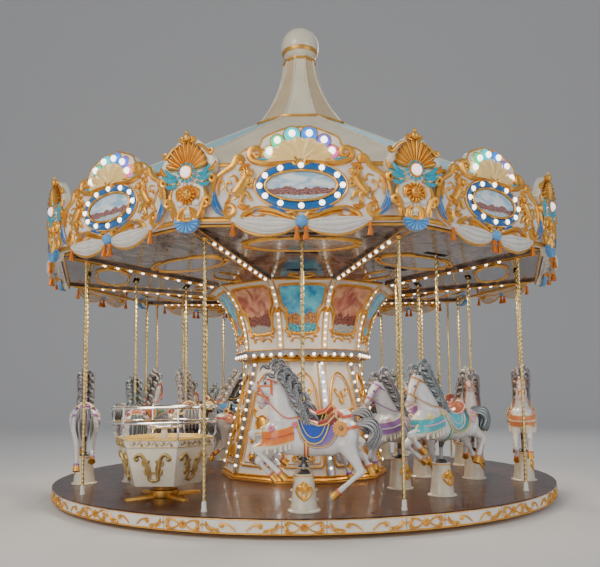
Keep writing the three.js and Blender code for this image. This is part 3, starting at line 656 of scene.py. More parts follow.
def marbled():
    """The ceiling's gloss panels: brown and grey veined sheets."""
    material, tree, shader, where = finish("ceiling_marbling", coat=0.25, specular=0.3)
    veins = wire(tree, "ShaderNodeTexNoise", {"Scale": 2.2, "Detail": 9.0, "Distortion": 2.4}, Vector=where)
    cloud = wire(tree, "ShaderNodeTexNoise", {"Scale": 0.9, "Detail": 3.0, "Distortion": 1.0}, Vector=where)
    colour = ramp(tree, veins.outputs[0], [(0.28, (0.040, 0.028, 0.026)), (0.45, (0.125, 0.085, 0.070)),
                                           (0.56, (0.26, 0.20, 0.17)), (0.70, (0.13, 0.13, 0.145))])
    colour = blend(tree, "MULTIPLY", 0.6, colour, ramp(tree, cloud.outputs[0], [(0.35, (0.55, 0.5, 0.5)),
                                                                              (0.65, (1.2, 1.15, 1.1))]))
    tree.links.new(colour, shader.inputs["Base Color"])
    tree.links.new(calc(tree, "MULTIPLY_ADD", cloud.outputs[0], 0.15, 0.04), shader.inputs["Roughness"])
    bump = wire(tree, "ShaderNodeBump", {"Strength": 0.06, "Distance": 0.004}, Height=veins.outputs[0])
    tree.links.new(bump.outputs[0], shader.inputs["Normal"])
    return material


def painting(name, sky, low_sky, land, land2, water, seed=0.0, glow=0.0):
    """A varnished landscape on the piece's own flat (u, v): sky with clouds, a broken skyline, water."""
    material, tree, shader, _ = finish(name, coat=0.8, glow=glow)
    flat = wire(tree, "ShaderNodeUVMap", {"uv_map": "UVMap"}).outputs[0]
    parts = wire(tree, "ShaderNodeSeparateXYZ", Vector=flat).outputs
    board_seed = wire(tree, "ShaderNodeVectorMath", {"operation": "ADD", 1: (seed, 0, seed)},
                      n0=flat).outputs[0]
    clouds = wire(tree, "ShaderNodeTexNoise", {"Scale": 4.0, "Detail": 7.0, "Distortion": 0.8},
                  Vector=board_seed)
    hills = wire(tree, "ShaderNodeTexNoise", {"Scale": 5.0, "Detail": 6.0}, Vector=wire(
        tree, "ShaderNodeMapping", {"Scale": (1, 0, 1)}, Vector=board_seed).outputs[0])
    strokes = wire(tree, "ShaderNodeTexNoise", {"Scale": 26.0, "Detail": 6.0}, Vector=board_seed)
    air = ramp(tree, clouds.outputs[0], [(0.38, sky), (0.62, low_sky)])
    ground = ramp(tree, strokes.outputs[0], [(0.38, land), (0.62, land2)])
    lake = ramp(tree, strokes.outputs[0], [(0.40, water), (0.66, low_sky)])
    line = calc(tree, "MULTIPLY_ADD", hills.outputs[0], 0.55, 0.14)
    over = ramp(tree, calc(tree, "SUBTRACT", parts[1], line), [(0.0, (0, 0, 0)), (0.02, (1, 1, 1))])
    shore = calc(tree, "MULTIPLY_ADD", clouds.outputs[0], 0.25, 0.10)
    wet = ramp(tree, calc(tree, "SUBTRACT", shore, parts[1]), [(0.0, (0, 0, 0)), (0.03, (1, 1, 1))])
    scene_colour = blend(tree, "MIX", wet, blend(tree, "MIX", over, ground, air), lake)
    tree.links.new(scene_colour, shader.inputs["Base Color"])
    # A glow makes the picture shine though it is no lamp: painted light.
    if glow:
        tree.links.new(scene_colour, shader.inputs["Emission Color"])
    tree.links.new(calc(tree, "MULTIPLY_ADD", strokes.outputs[0], 0.15, 0.12), shader.inputs["Roughness"])
    bump = wire(tree, "ShaderNodeBump", {"Strength": 0.15, "Distance": 0.001}, Height=strokes.outputs[0])
    tree.links.new(bump.outputs[0], shader.inputs["Normal"])
    return material


def lamp_glass(name, colour, strength, tinted=False):
    """A frosted bulb lit from inside, a little uneven, white or in its own Tint colour."""
    material, tree, shader, where = finish(name, glow=strength)
    uneven = wire(tree, "ShaderNodeTexNoise", {"Scale": 60.0, "Detail": 2.0}, Vector=where)
    base = wire(tree, "ShaderNodeVertexColor", {"layer_name": "Tint"}).outputs[0] if tinted else colour
    lit = blend(tree, "MULTIPLY", 0.25, base,
                ramp(tree, uneven.outputs[0], [(0.3, (0.7, 0.7, 0.7)), (0.6, (1, 1, 1))]))
    tree.links.new(lit, shader.inputs["Base Color"])
    tree.links.new(lit, shader.inputs["Emission Color"])
    tree.links.new(calc(tree, "MULTIPLY_ADD", uneven.outputs[0], 0.2, 0.15), shader.inputs["Roughness"])
    return material


def hair():
    """Carved and painted hair: strands along each lock from its own (u, v), in darker and lighter streaks."""
    material, tree, shader, _ = finish("carved_hair", coat=0.4)
    flat = wire(tree, "ShaderNodeUVMap", {"uv_map": "UVMap"}).outputs[0]
    run = wire(tree, "ShaderNodeMapping", {"Scale": (13, 1.0, 1)}, Vector=flat).outputs[0]
    strands = wire(tree, "ShaderNodeTexNoise", {"Scale": 1.6, "Detail": 5.0, "Distortion": 0.3}, Vector=run)
    tint = wire(tree, "ShaderNodeVertexColor", {"layer_name": "Tint"}).outputs[0]
    dark = blend(tree, "MULTIPLY", 1.0, tint, (0.25, 0.25, 0.28))
    light = blend(tree, "MIX", 0.62, tint, (0.80, 0.80, 0.82))
    mask = ramp(tree, strands.outputs[0], [(0.46, (0, 0, 0)), (0.56, (1, 1, 1))])
    tree.links.new(blend(tree, "MIX", mask, dark, light), shader.inputs["Base Color"])
    tree.links.new(calc(tree, "MULTIPLY_ADD", strands.outputs[0], 0.3, 0.18), shader.inputs["Roughness"])
    bump = wire(tree, "ShaderNodeBump", {"Strength": 0.6, "Distance": 0.004}, Height=strands.outputs[0])
    tree.links.new(bump.outputs[0], shader.inputs["Normal"])
    return material


def coat_paint():
    """A horse's glossy coat in its own Tint colour, with soft dapples, shaded hollows and fine brushwork."""
    material, tree, shader, where = finish("coat_paint", coat=0.8)
    tint = wire(tree, "ShaderNodeVertexColor", {"layer_name": "Tint"}).outputs[0]
    dapple = wire(tree, "ShaderNodeTexVoronoi", {"Scale": 11.0, "feature": "SMOOTH_F1"}, Vector=where)
    spots = ramp(tree, dapple.outputs["Distance"], [(0.25, (1, 1, 1)), (0.6, (0.80, 0.79, 0.79))])
    colour = blend(tree, "MULTIPLY", 0.35, tint, spots)
    made = place_group(tree, GLAZE, where, colour, (0.42, 0.36, 0.33), Scale=6.0, Grime=0.55, Roughness=0.26)
    lay(tree, shader, made)
    return material


# Each enamel's hollows darken towards its second colour: dirt, and painted shade; the blues darken to deeper
# blues, which is painted shade alone.
CREAM = enamel("cream_enamel", (0.84, 0.75, 0.58), dust_shade=0.5)
WHITE = enamel("white_enamel", (0.86, 0.82, 0.74), dust_shade=0.4)
# Each gilt's second colour is the painted shade in its carving's hollows.
GOLD = gilt("gold_leaf", (0.92, 0.50, 0.10), (0.30, 0.11, 0.02))
OLD_GOLD = gilt("old_gold", (0.78, 0.44, 0.11), (0.22, 0.09, 0.02), rough=0.28)
ORANGE = gilt("orange_bronze", (0.80, 0.24, 0.03), (0.35, 0.12, 0.02), metallic=0.5)
BLUE = enamel("blue_enamel", (0.008, 0.14, 0.42), dust_shade=0.3, dust_shade_colour=(0.01, 0.05, 0.14))
# The turquoise inlays glow a little though no lamp is in them: painted light.
TURQUOISE = enamel("turquoise_enamel", (0.0, 0.34, 0.48), dust_shade_colour=(0.01, 0.12, 0.2), glow=0.15)
SKY_BLUE = enamel("sky_blue_enamel", (0.10, 0.38, 0.78), dust_shade_colour=(0.05, 0.18, 0.4))
PAINTED = enamel("painted_trim", None, rough=0.3, dust_shade=0.45, coat=0.5, scale=14.0,
                 dust_shade_colour=(0.12, 0.08, 0.06))
COAT = coat_paint()
HAIR = hair()
BULB = lamp_glass("bulb_white", (1.0, 0.93, 0.80), 4.0)
COLOUR_BULB = lamp_glass("bulb_coloured", None, 1.6, tinted=True)
# The shell lobes are painted boards with a bulb on each, no lamps themselves; their glow is painted light.
LOBE = lamp_glass("shell_lobe", None, 0.75, tinted=True)
BRASS = metal("twisted_brass", (0.83, 0.62, 0.27), 0.24)
CHROME = metal("chrome_plate", (0.86, 0.87, 0.88), 0.14, darks=0.1)
STEEL = metal("oiled_steel", (0.40, 0.40, 0.41), 0.42)
MIRROR = metal("mirror_glass", (0.62, 0.64, 0.66), 0.20, scale=3.0, stretch=(1, 1, 1), darks=0.06)
FRAME_PAINT = enamel("frame_paint", (0.12, 0.13, 0.15), rough=0.5, dust_shade=0.7, coat=0.1)
MOTOR_PAINT = enamel("motor_paint", (0.06, 0.15, 0.27), rough=0.45, dust_shade=0.7, coat=0.2)
TYRE = enamel("drive_tyre", (0.03, 0.03, 0.03), rough=0.8, dust_shade=0.6, coat=0.0)
BLACK = enamel("black_enamel", (0.015, 0.015, 0.017), rough=0.3)
PLANKS = deck_planks()
ROOF_CANVAS = canvas("roof_canvas", (0.82, 0.72, 0.52), (0.30, 0.66, 0.78), 5)
# The spire's second colour is painted shade: the tan faces are the cream canvas darkened as if turned from the
# light, on every other face.
SPIRE_CANVAS = canvas("spire_canvas", (0.86, 0.78, 0.58), (0.70, 0.55, 0.33), 5)
MARBLING = marbled()
# The crest pictures glow a little though they are no lamps: painted light.
CREST_VIEW = painting("crest_view", (0.30, 0.52, 0.68), (0.80, 0.84, 0.84), (0.13, 0.05, 0.05),
                      (0.42, 0.20, 0.17), (0.25, 0.42, 0.45), glow=0.15)
CLOUD_VIEW = painting("cloud_view", (0.05, 0.055, 0.085), (0.17, 0.18, 0.24), (0.06, 0.03, 0.03),
                      (0.16, 0.07, 0.06), (0.10, 0.12, 0.17), seed=3.0)
# The crown pictures glow a little though they are no lamps: painted light.
CROWN_VIEWS = [
    painting("crown_view_sea", (0.02, 0.20, 0.42), (0.10, 0.50, 0.62), (0.16, 0.05, 0.03), (0.55, 0.26, 0.08),
             (0.03, 0.16, 0.22), seed=5.0, glow=0.2),
    painting("crown_view_dusk", (0.30, 0.07, 0.05), (0.62, 0.30, 0.16), (0.05, 0.02, 0.02),
             (0.30, 0.07, 0.04),
             (0.10, 0.30, 0.34), seed=7.0, glow=0.2),
]

STAYING = {
    "base_frame": FRAME_PAINT, "centre_mast": FRAME_PAINT, "slew_bearing": STEEL, "drive_motor": MOTOR_PAINT,
    "drive_wheel": TYRE, "deck_frame": FRAME_PAINT, "deck": PLANKS, "rim_valance": WHITE,
    "canopy_frame": FRAME_PAINT, "ceiling": MARBLING, "roof": ROOF_CANVAS,
    **{f"crankshaft_{i}": STEEL for i in range(1, 10)},
}
for node, material in STAYING.items():
    kept = bpy.data.objects[node].data
    kept.materials.clear()
    kept.materials.append(material)


# ---- Horses ---------------------------------------------------------------------------------------
# A horse faces -X with its pole on the Z axis, and its heights count from the deck at mid-stroke.
# The outline of each pose: poll, nose, tail tip, and the knee and hoof of two fore and two hind legs.
POSES = {
    "raised": dict(poll=(-0.335, 1.535), nose=(-0.600, 1.485), tail=(0.86, 0.72),
                   fore=[(-0.560, 0.770, -0.215, 0.435), (-0.535, 0.615, -0.330, 0.395)],
                   hind=[(0.655, 0.500, 0.330, 0.222), (0.715, 0.640, 0.795, 0.468)]),
    "tucked": dict(poll=(-0.430, 1.565), nose=(-0.575, 1.170), tail=(0.88, 0.78),
                   fore=[(-0.665, 0.780, -0.430, 0.560), (-0.560, 0.640, -0.215, 0.405)],
                   hind=[(0.740, 0.680, 0.580, 0.365), (0.685, 0.560, 0.825, 0.355)]),
    "prancing": dict(poll=(-0.400, 1.555), nose=(-0.620, 1.200), tail=(0.78, 0.60),
                     fore=[(-0.560, 0.660, -0.560, 0.365), (-0.470, 0.490, -0.330, 0.305)],
                     hind=[(0.560, 0.500, 0.650, 0.220), (0.490, 0.470, 0.700, 0.350)]),
}
# Barrel stations: place along X, middle height, half height and half width.
BARREL = np.array([
    [-0.475, 0.935, 0.040, 0.040], [-0.445, 0.930, 0.105, 0.095], [-0.370, 0.920, 0.170, 0.145],
    [-0.250, 0.905, 0.205, 0.170], [-0.100, 0.890, 0.212, 0.178], [0.060, 0.868, 0.195, 0.182],
    [0.200, 0.862, 0.190, 0.186], [0.340, 0.880, 0.205, 0.190], [0.460, 0.905, 0.200, 0.180],
    [0.560, 0.925, 0.165, 0.145], [0.625, 0.935, 0.100, 0.090], [0.650, 0.935, 0.035, 0.035],
])
HEAD_REACH = 0.15  # how far out a ray looks for the head, so that it misses the neck and chest
STROKE = 0.17
CRANK_REST = [-0.3, 0.2, 0.15, 0.7, -0.5, 0.6, -0.7, 0.5, 0.3]
ROWS = {1: [("outer", 3.540, 1), ("middle", 2.800, -1), ("inner", 2.000, 1)],
        0: [("outer", 3.085, 1), ("inner", 2.310, -1)]}


def barrel_at(x, phi, lift=0.0):
    """A point on the barrel at X and an angle phi from its top, raised by lift: an ellipse per station."""
    zc, hh, hw = (np.interp(x, BARREL[:, 0], BARREL[:, k]) for k in (1, 2, 3))
    return np.stack([x + 0 * phi, (hw + lift) * np.sin(phi), zc + (hh + lift) * np.cos(phi)], -1)


def limb_tube(points, radii, side, sides=12, flat=1.0):
    """A smooth limb through (x, z) points at a distance to one side, with a radius at each."""
    p = smooth_path(points, 20)
    r = smooth_path(np.stack([radii, radii], -1), 20)[:, 0]
    y = side + 0 * p[:, 0]
    return tube(np.stack([p[:, 0], y, p[:, 1]], -1), r, sides, flat, up=(0, 1, 0))


def flesh(pose):
    """The overlapping closed forms of one horse: barrel, shoulders, haunches, neck, head, ears and legs."""
    s = np.linspace(0, 1, 26)
    x = np.interp(s, np.linspace(0, 1, len(BARREL)), BARREL[:, 0])
    a = TAU * np.arange(22) / 22
    parts = [skin(barrel_at(x[:, None], a[None]))]
    px, pz = pose["poll"]
    nx, nz = pose["nose"]
    crest_curve = smooth_path([(-0.16, 0.98), (-0.255, 1.17), (px + 0.055, pz - 0.19),
                               (px + 0.01, pz - 0.045)], 20)
    neck_r = np.interp(np.linspace(0, 1, 20), [0, 0.35, 0.75, 1], [0.205, 0.155, 0.105, 0.082])
    parts.append(tube(np.stack([crest_curve[:, 0], 0 * neck_r, crest_curve[:, 1]], -1), neck_r, 14, 0.60,
                      up=(0, 1, 0)))
    poll, nose = np.array([px, pz - 0.045]), np.array([nx, nz])
    drop = nose - poll
    under = np.array([drop[1], -drop[0]]) / np.linalg.norm(drop)
    under = under if under[1] < 0 else -under
    head = [poll - 0.05 * drop, poll + 0.18 * drop + 0.022 * under, poll + 0.45 * drop + 0.012 * under,
            poll + 0.75 * drop, poll + 0.93 * drop + 0.004 * under, nose]
    parts.append(limb_tube(head, [0.070, 0.096, 0.074, 0.054, 0.055, 0.034], 0.0, 14, 0.66))
    jaw = [poll + 0.12 * drop + 0.05 * under, poll + 0.5 * drop + 0.045 * under,
           poll + 0.9 * drop + 0.030 * under]
    parts.append(limb_tube(jaw, [0.066, 0.040, 0.030], 0.0, 10, 0.7))
    for y in (-1, 1):
        parts.append(limb_tube([poll + 0.3 * drop - 0.040 * under, poll + 0.42 * drop - 0.034 * under,
                                poll + 0.55 * drop - 0.02 * under], [0.012, 0.020, 0.010], y * 0.040, 8))
        parts.append(tube([[px + 0.030, y * 0.030, pz + 0.005], [px + 0.025, y * 0.045, pz + 0.055],
                           [px + 0.010, y * 0.052, pz + 0.100], [px - 0.004, y * 0.048, pz + 0.122]],
                          [0.022, 0.026, 0.016, 0.005], 8, 0.55, up=(1, 0, 0)))
        parts.append(ball((-0.27, y * 0.105, 0.90), (0.145, 0.075, 0.175)))
        parts.append(ball((0.46, y * 0.095, 0.90), (0.165, 0.100, 0.190)))
        parts.append(ball((-0.385, y * 0.062, 0.93), (0.085, 0.060, 0.105)))
    for end, hip in (("fore", (-0.25, 0.84)), ("hind", (0.47, 0.84))):
        for k, (kx, kz, hx, hz) in enumerate(pose[end]):
            y = (-1 if k == 0 else 1) * (0.095 if end == "fore" else 0.105)
            knee, hoof, hip_at = np.array([kx, kz]), np.array([hx, hz]), np.array(hip)
            down = (hoof - knee) / np.linalg.norm(hoof - knee)
            thick = 0.098 if end == "fore" else 0.128
            mid = hip_at * 0.45 + knee * 0.55
            parts.append(limb_tube([hip_at, mid, knee, knee + 0.012 * down], [thick, 0.070, 0.046, 0.044], y,
                                   12, 0.8))
            fetlock = knee + (np.linalg.norm(hoof - knee) - 0.085) * down
            parts.append(limb_tube([knee, knee * 0.6 + fetlock * 0.4, fetlock, hoof - 0.045 * down],
                                   [0.047, 0.030, 0.038, 0.034], y, 10))
            if end == "hind":
                parts.append(ball((kx, y, kz), (0.046, 0.034, 0.050)))
    return joined(parts)


def fused(form, voxel=0.013, passes=5):
    """The outer surface of overlapping forms as one mesh: a voxel remesh, then smoothing passes."""
    mesh = bpy.data.meshes.new("fusing")
    faces = form.q.tolist() + form.t.tolist()
    mesh.from_pydata(form.v.tolist(), [], faces)
    obj = bpy.data.objects.new("fusing", mesh)
    bpy.context.scene.collection.objects.link(obj)
    remesh = obj.modifiers.new("fuse", "REMESH")
    remesh.mode, remesh.voxel_size = "VOXEL", voxel
    soft = obj.modifiers.new("soften", "SMOOTH")
    soft.factor, soft.iterations = 0.5, passes
    made = obj.evaluated_get(bpy.context.evaluated_depsgraph_get()).to_mesh()
    v = np.zeros(len(made.vertices) * 3)
    made.vertices.foreach_get("co", v)
    sizes = np.zeros(len(made.polygons), int)
    made.polygons.foreach_get("loop_total", sizes)
    corners = np.zeros(len(made.loops), int)
    made.loops.foreach_get("vertex_index", corners)
    starts = np.cumsum(sizes) - sizes
    q = corners[starts[sizes == 4][:, None] + np.arange(4)]
    t = corners[starts[sizes == 3][:, None] + np.arange(3)]
    out = Form(v, q, t)
    tree = BVHTree.FromPolygons(out.v.tolist(), q.tolist() + t.tolist())
    bpy.data.objects.remove(obj)
    bpy.data.meshes.remove(mesh)
    return out, tree


def hug(tree, origins, directions, lift, reach=0.6):
    """Points on a surface that rays from inside leave through, raised by lift along the ray."""
    out = np.zeros(origins.shape)
    for index in np.ndindex(origins.shape[:-1]):
        o, d = Vector(origins[index]), Vector(directions[index]).normalized()
        hit = tree.ray_cast(o + d * reach, -d, reach)[0]
        out[index] = (hit if hit is not None else o + d * 0.08) + d * lift
    return out


def strap(tree, centres, normals, a_from, a_to, width, lift, axis_u, axis_v, count=34, reach=0.6):
    """A band on the surface: rays fan from a centre between two angles in the plane of axis_u and axis_v."""
    a = np.linspace(a_from, a_to, count)
    closed = abs(abs(a_to - a_from) - TAU) < 1e-6
    a = a[:-1] if closed else a
    u, v = np.asarray(axis_u, float), np.asarray(axis_v, float)
    d = np.cos(a)[:, None] * u + np.sin(a)[:, None] * v
    across = np.linspace(-0.5, 0.5, 4) * width
    c = np.asarray(centres, float)
    c = c if c.ndim == 2 else np.repeat(c[None], count, 0)
    c = c[: len(a)]
    o = c[:, None] + across[None, :, None] * np.asarray(normals, float)
    dd = np.repeat(d[:, None], 4, 1)
    outer = hug(tree, o, dd, lift, reach)
    inner = outer[:, ::-1] - dd * (lift + 0.004)
    rings = np.concatenate([outer, inner], 1)
    if closed:
        return skin(np.concatenate([rings, rings[:1]]), low="open", high="open").outward()
    return skin(rings)


def pad(cx, cphi, rx, rphi, lift, power=2.6, rows=9, count=40):
    """A pad on the barrel: a rounded patch of X and angle, crowned, its rim rolled under the surface."""
    a = TAU * np.arange(count) / count
    ox = np.sign(np.cos(a)) * np.abs(np.cos(a)) ** (2 / power)
    op = np.sign(np.sin(a)) * np.abs(np.sin(a)) ** (2 / power)
    rho = np.concatenate([np.linspace(0.02, 0.94, rows), [1.0, 1.0, 0.97]])[:, None]
    rise = np.concatenate([lift * (1 - 0.15 * np.linspace(0, 1, rows) ** 2), [lift * 0.55, 0.0, -0.01]])[:,
        None]
    return skin(barrel_at(cx + rho * rx * ox, cphi + rho * rphi * op, rise)).outward()


def rim_of_pad(cx, cphi, rx, rphi, lift, radius, power=2.6, count=48):
    """A round piping along the rim of a pad."""
    a = TAU * np.arange(count) / count
    x = cx + rx * np.sign(np.cos(a)) * np.abs(np.cos(a)) ** (2 / power)
    p = cphi + rphi * np.sign(np.sin(a)) * np.abs(np.sin(a)) ** (2 / power)
    path = barrel_at(x, p, lift)
    along = np.roll(path, -1, 0) - np.roll(path, 1, 0)
    along /= np.linalg.norm(along, axis=1, keepdims=True)
    out = path - barrel_at(x, p, lift - 0.02)
    out /= np.linalg.norm(out, axis=1, keepdims=True)
    side = np.cross(along, out)
    b = TAU * np.arange(6) / 6
    rings = path[:,
                 None] + radius * (np.cos(b)[None, :, None] * side[:, None] + np.sin(b)[None, :,
                     None] * out[:, None])
    return skin(np.vstack([rings, rings[:1]]), low="open", high="open").outward()


def flower(centre, normal, radius, petals):
    """Petals as flattened leaves round a raised core, facing along a normal. Returns petals and core."""
    n = np.asarray(normal, float) / np.linalg.norm(normal)
    u = np.cross([0.0, 0.0, 1.0], n)
    u /= np.linalg.norm(u) + 1e-9
    w = np.cross(n, u)
    s = np.linspace(0.15, 1, 5)
    made = []
    for k in range(petals):
        a = TAU * k / petals
        d = math.cos(a) * u + math.sin(a) * w
        path = np.asarray(centre) + s[:, None] * radius * d + (0.010 + 0.010 * np.sin(s * 3))[:, None] * n
        made.append(tube(path, radius * 2.0 / petals * np.array([0.5, 1.1, 1.4, 1.1, 0.3]) * 1.1, 6, 0.45,
                         up=n))
    core = ball((0, 0, 0), (radius * 0.34,) * 3, 10, 6)
    core = core.at(core.v + np.asarray(centre) + 0.012 * n)
    return joined(made), core


def locks(roots, tips, sway, radius, count=12):
    """Curling locks of hair, each a flattened tapering rod from a root to a tip with an S-shaped sway."""
    made = []
    for k, (root, tip) in enumerate(zip(roots, tips)):
        root, tip = np.asarray(root, float), np.asarray(tip, float)
        s = np.linspace(0, 1, count)[:, None]
        path = root + (tip - root) * s
        bend = np.asarray(sway[k % len(sway)], float)
        path = path + bend * np.sin(s * math.pi) + 0.45 * bend * np.sin(s * TAU) * [1, -0.6, -1]
        thick = radius * (0.75 + 0.5 * np.sin(np.pi * s[:, 0] ** 0.8)) * (1 - s[:, 0] ** 3) + 0.003
        made.append(tube(path, thick, 7, 0.62, up=(0.2, 1, 0.1)))
    return joined(made)


def mane_and_tail(pose):
    """Locks down both sides of the crest, a forelock, and a full tail of long curling locks."""
    px, pz = pose["poll"]
    s = np.linspace(0, 1, 15)
    crest_x = np.interp(s, [0, 0.35, 1], [px + 0.045, px + 0.165, -0.03])
    crest_z = np.interp(s, [0, 0.35, 1], [pz + 0.085, pz - 0.070, 1.12])
    parts = []
    for y in (-1, 0, 1):
        k = np.arange(len(s))
        roots = np.stack([crest_x - 0.02, 0 * s + y * 0.012, crest_z], -1)
        reach = 0.20 + 0.05 * np.sin(k * 1.9 + y)
        tips = np.stack([crest_x + reach * (0.9 if y == 0 else 0.55), y * (0.12 + 0.015 * np.cos(k * 2.3)),
                         crest_z - (0.02 if y == 0 else 0.15) - 0.05 * s], -1)
        sway = [(0.02, 0.02 * y, 0.065), (0.045, 0.03 * y, 0.030), (0.01, 0.015 * y, 0.05)]
        parts.append(locks(roots, tips, sway, 0.036))
    parts.append(locks([(px + 0.01, 0.0, pz + 0.07)] * 3,
                       [(px - 0.13, y, pz + 0.005) for y in (-0.035, 0, 0.035)], [(0, 0, 0.05)], 0.022))
    parts.append(locks([(px + 0.03 + 0.02 * k, 0.03 * ((k % 3) - 1), pz + 0.045) for k in range(6)],
                       [(px + 0.10 + 0.035 * k, 0.07 * ((k % 3) - 1), pz + 0.165 - 0.03 * k)
                        for k in range(6)],
                       [(-0.02, 0, 0.03)], 0.026))
    tx, tz = pose["tail"]
    bow = np.array([(0.595, 1.020), (0.780, 1.085), (0.880, 0.950), (0.820, 0.790), (tx - 0.11, tz + 0.03)])
    for k in range(15):
        inward, y = 1 - 0.17 * (k // 5), (k % 5 - 2) * 0.034
        path = smooth_path([tuple(bow[0])] + [tuple((0.66, 0.90) + (p - (0.66, 0.90)) * inward)
                                              for p in bow[1:]], 20)
        s = np.linspace(0, 1, 20)
        line = np.stack([path[:, 0] + 0.012 * np.sin(9 * s + k), y * (0.3 + 1.3 * np.sin(np.pi * s * 0.8)),
                         path[:, 1]], -1)
        parts.append(tube(line, 0.030 * (0.55 + 0.6 * np.sin(np.pi * s)) * (1 - s ** 4) + 0.003, 7, 0.62,
                          up=(0.2, 1, 0.1)))
    return joined(parts)


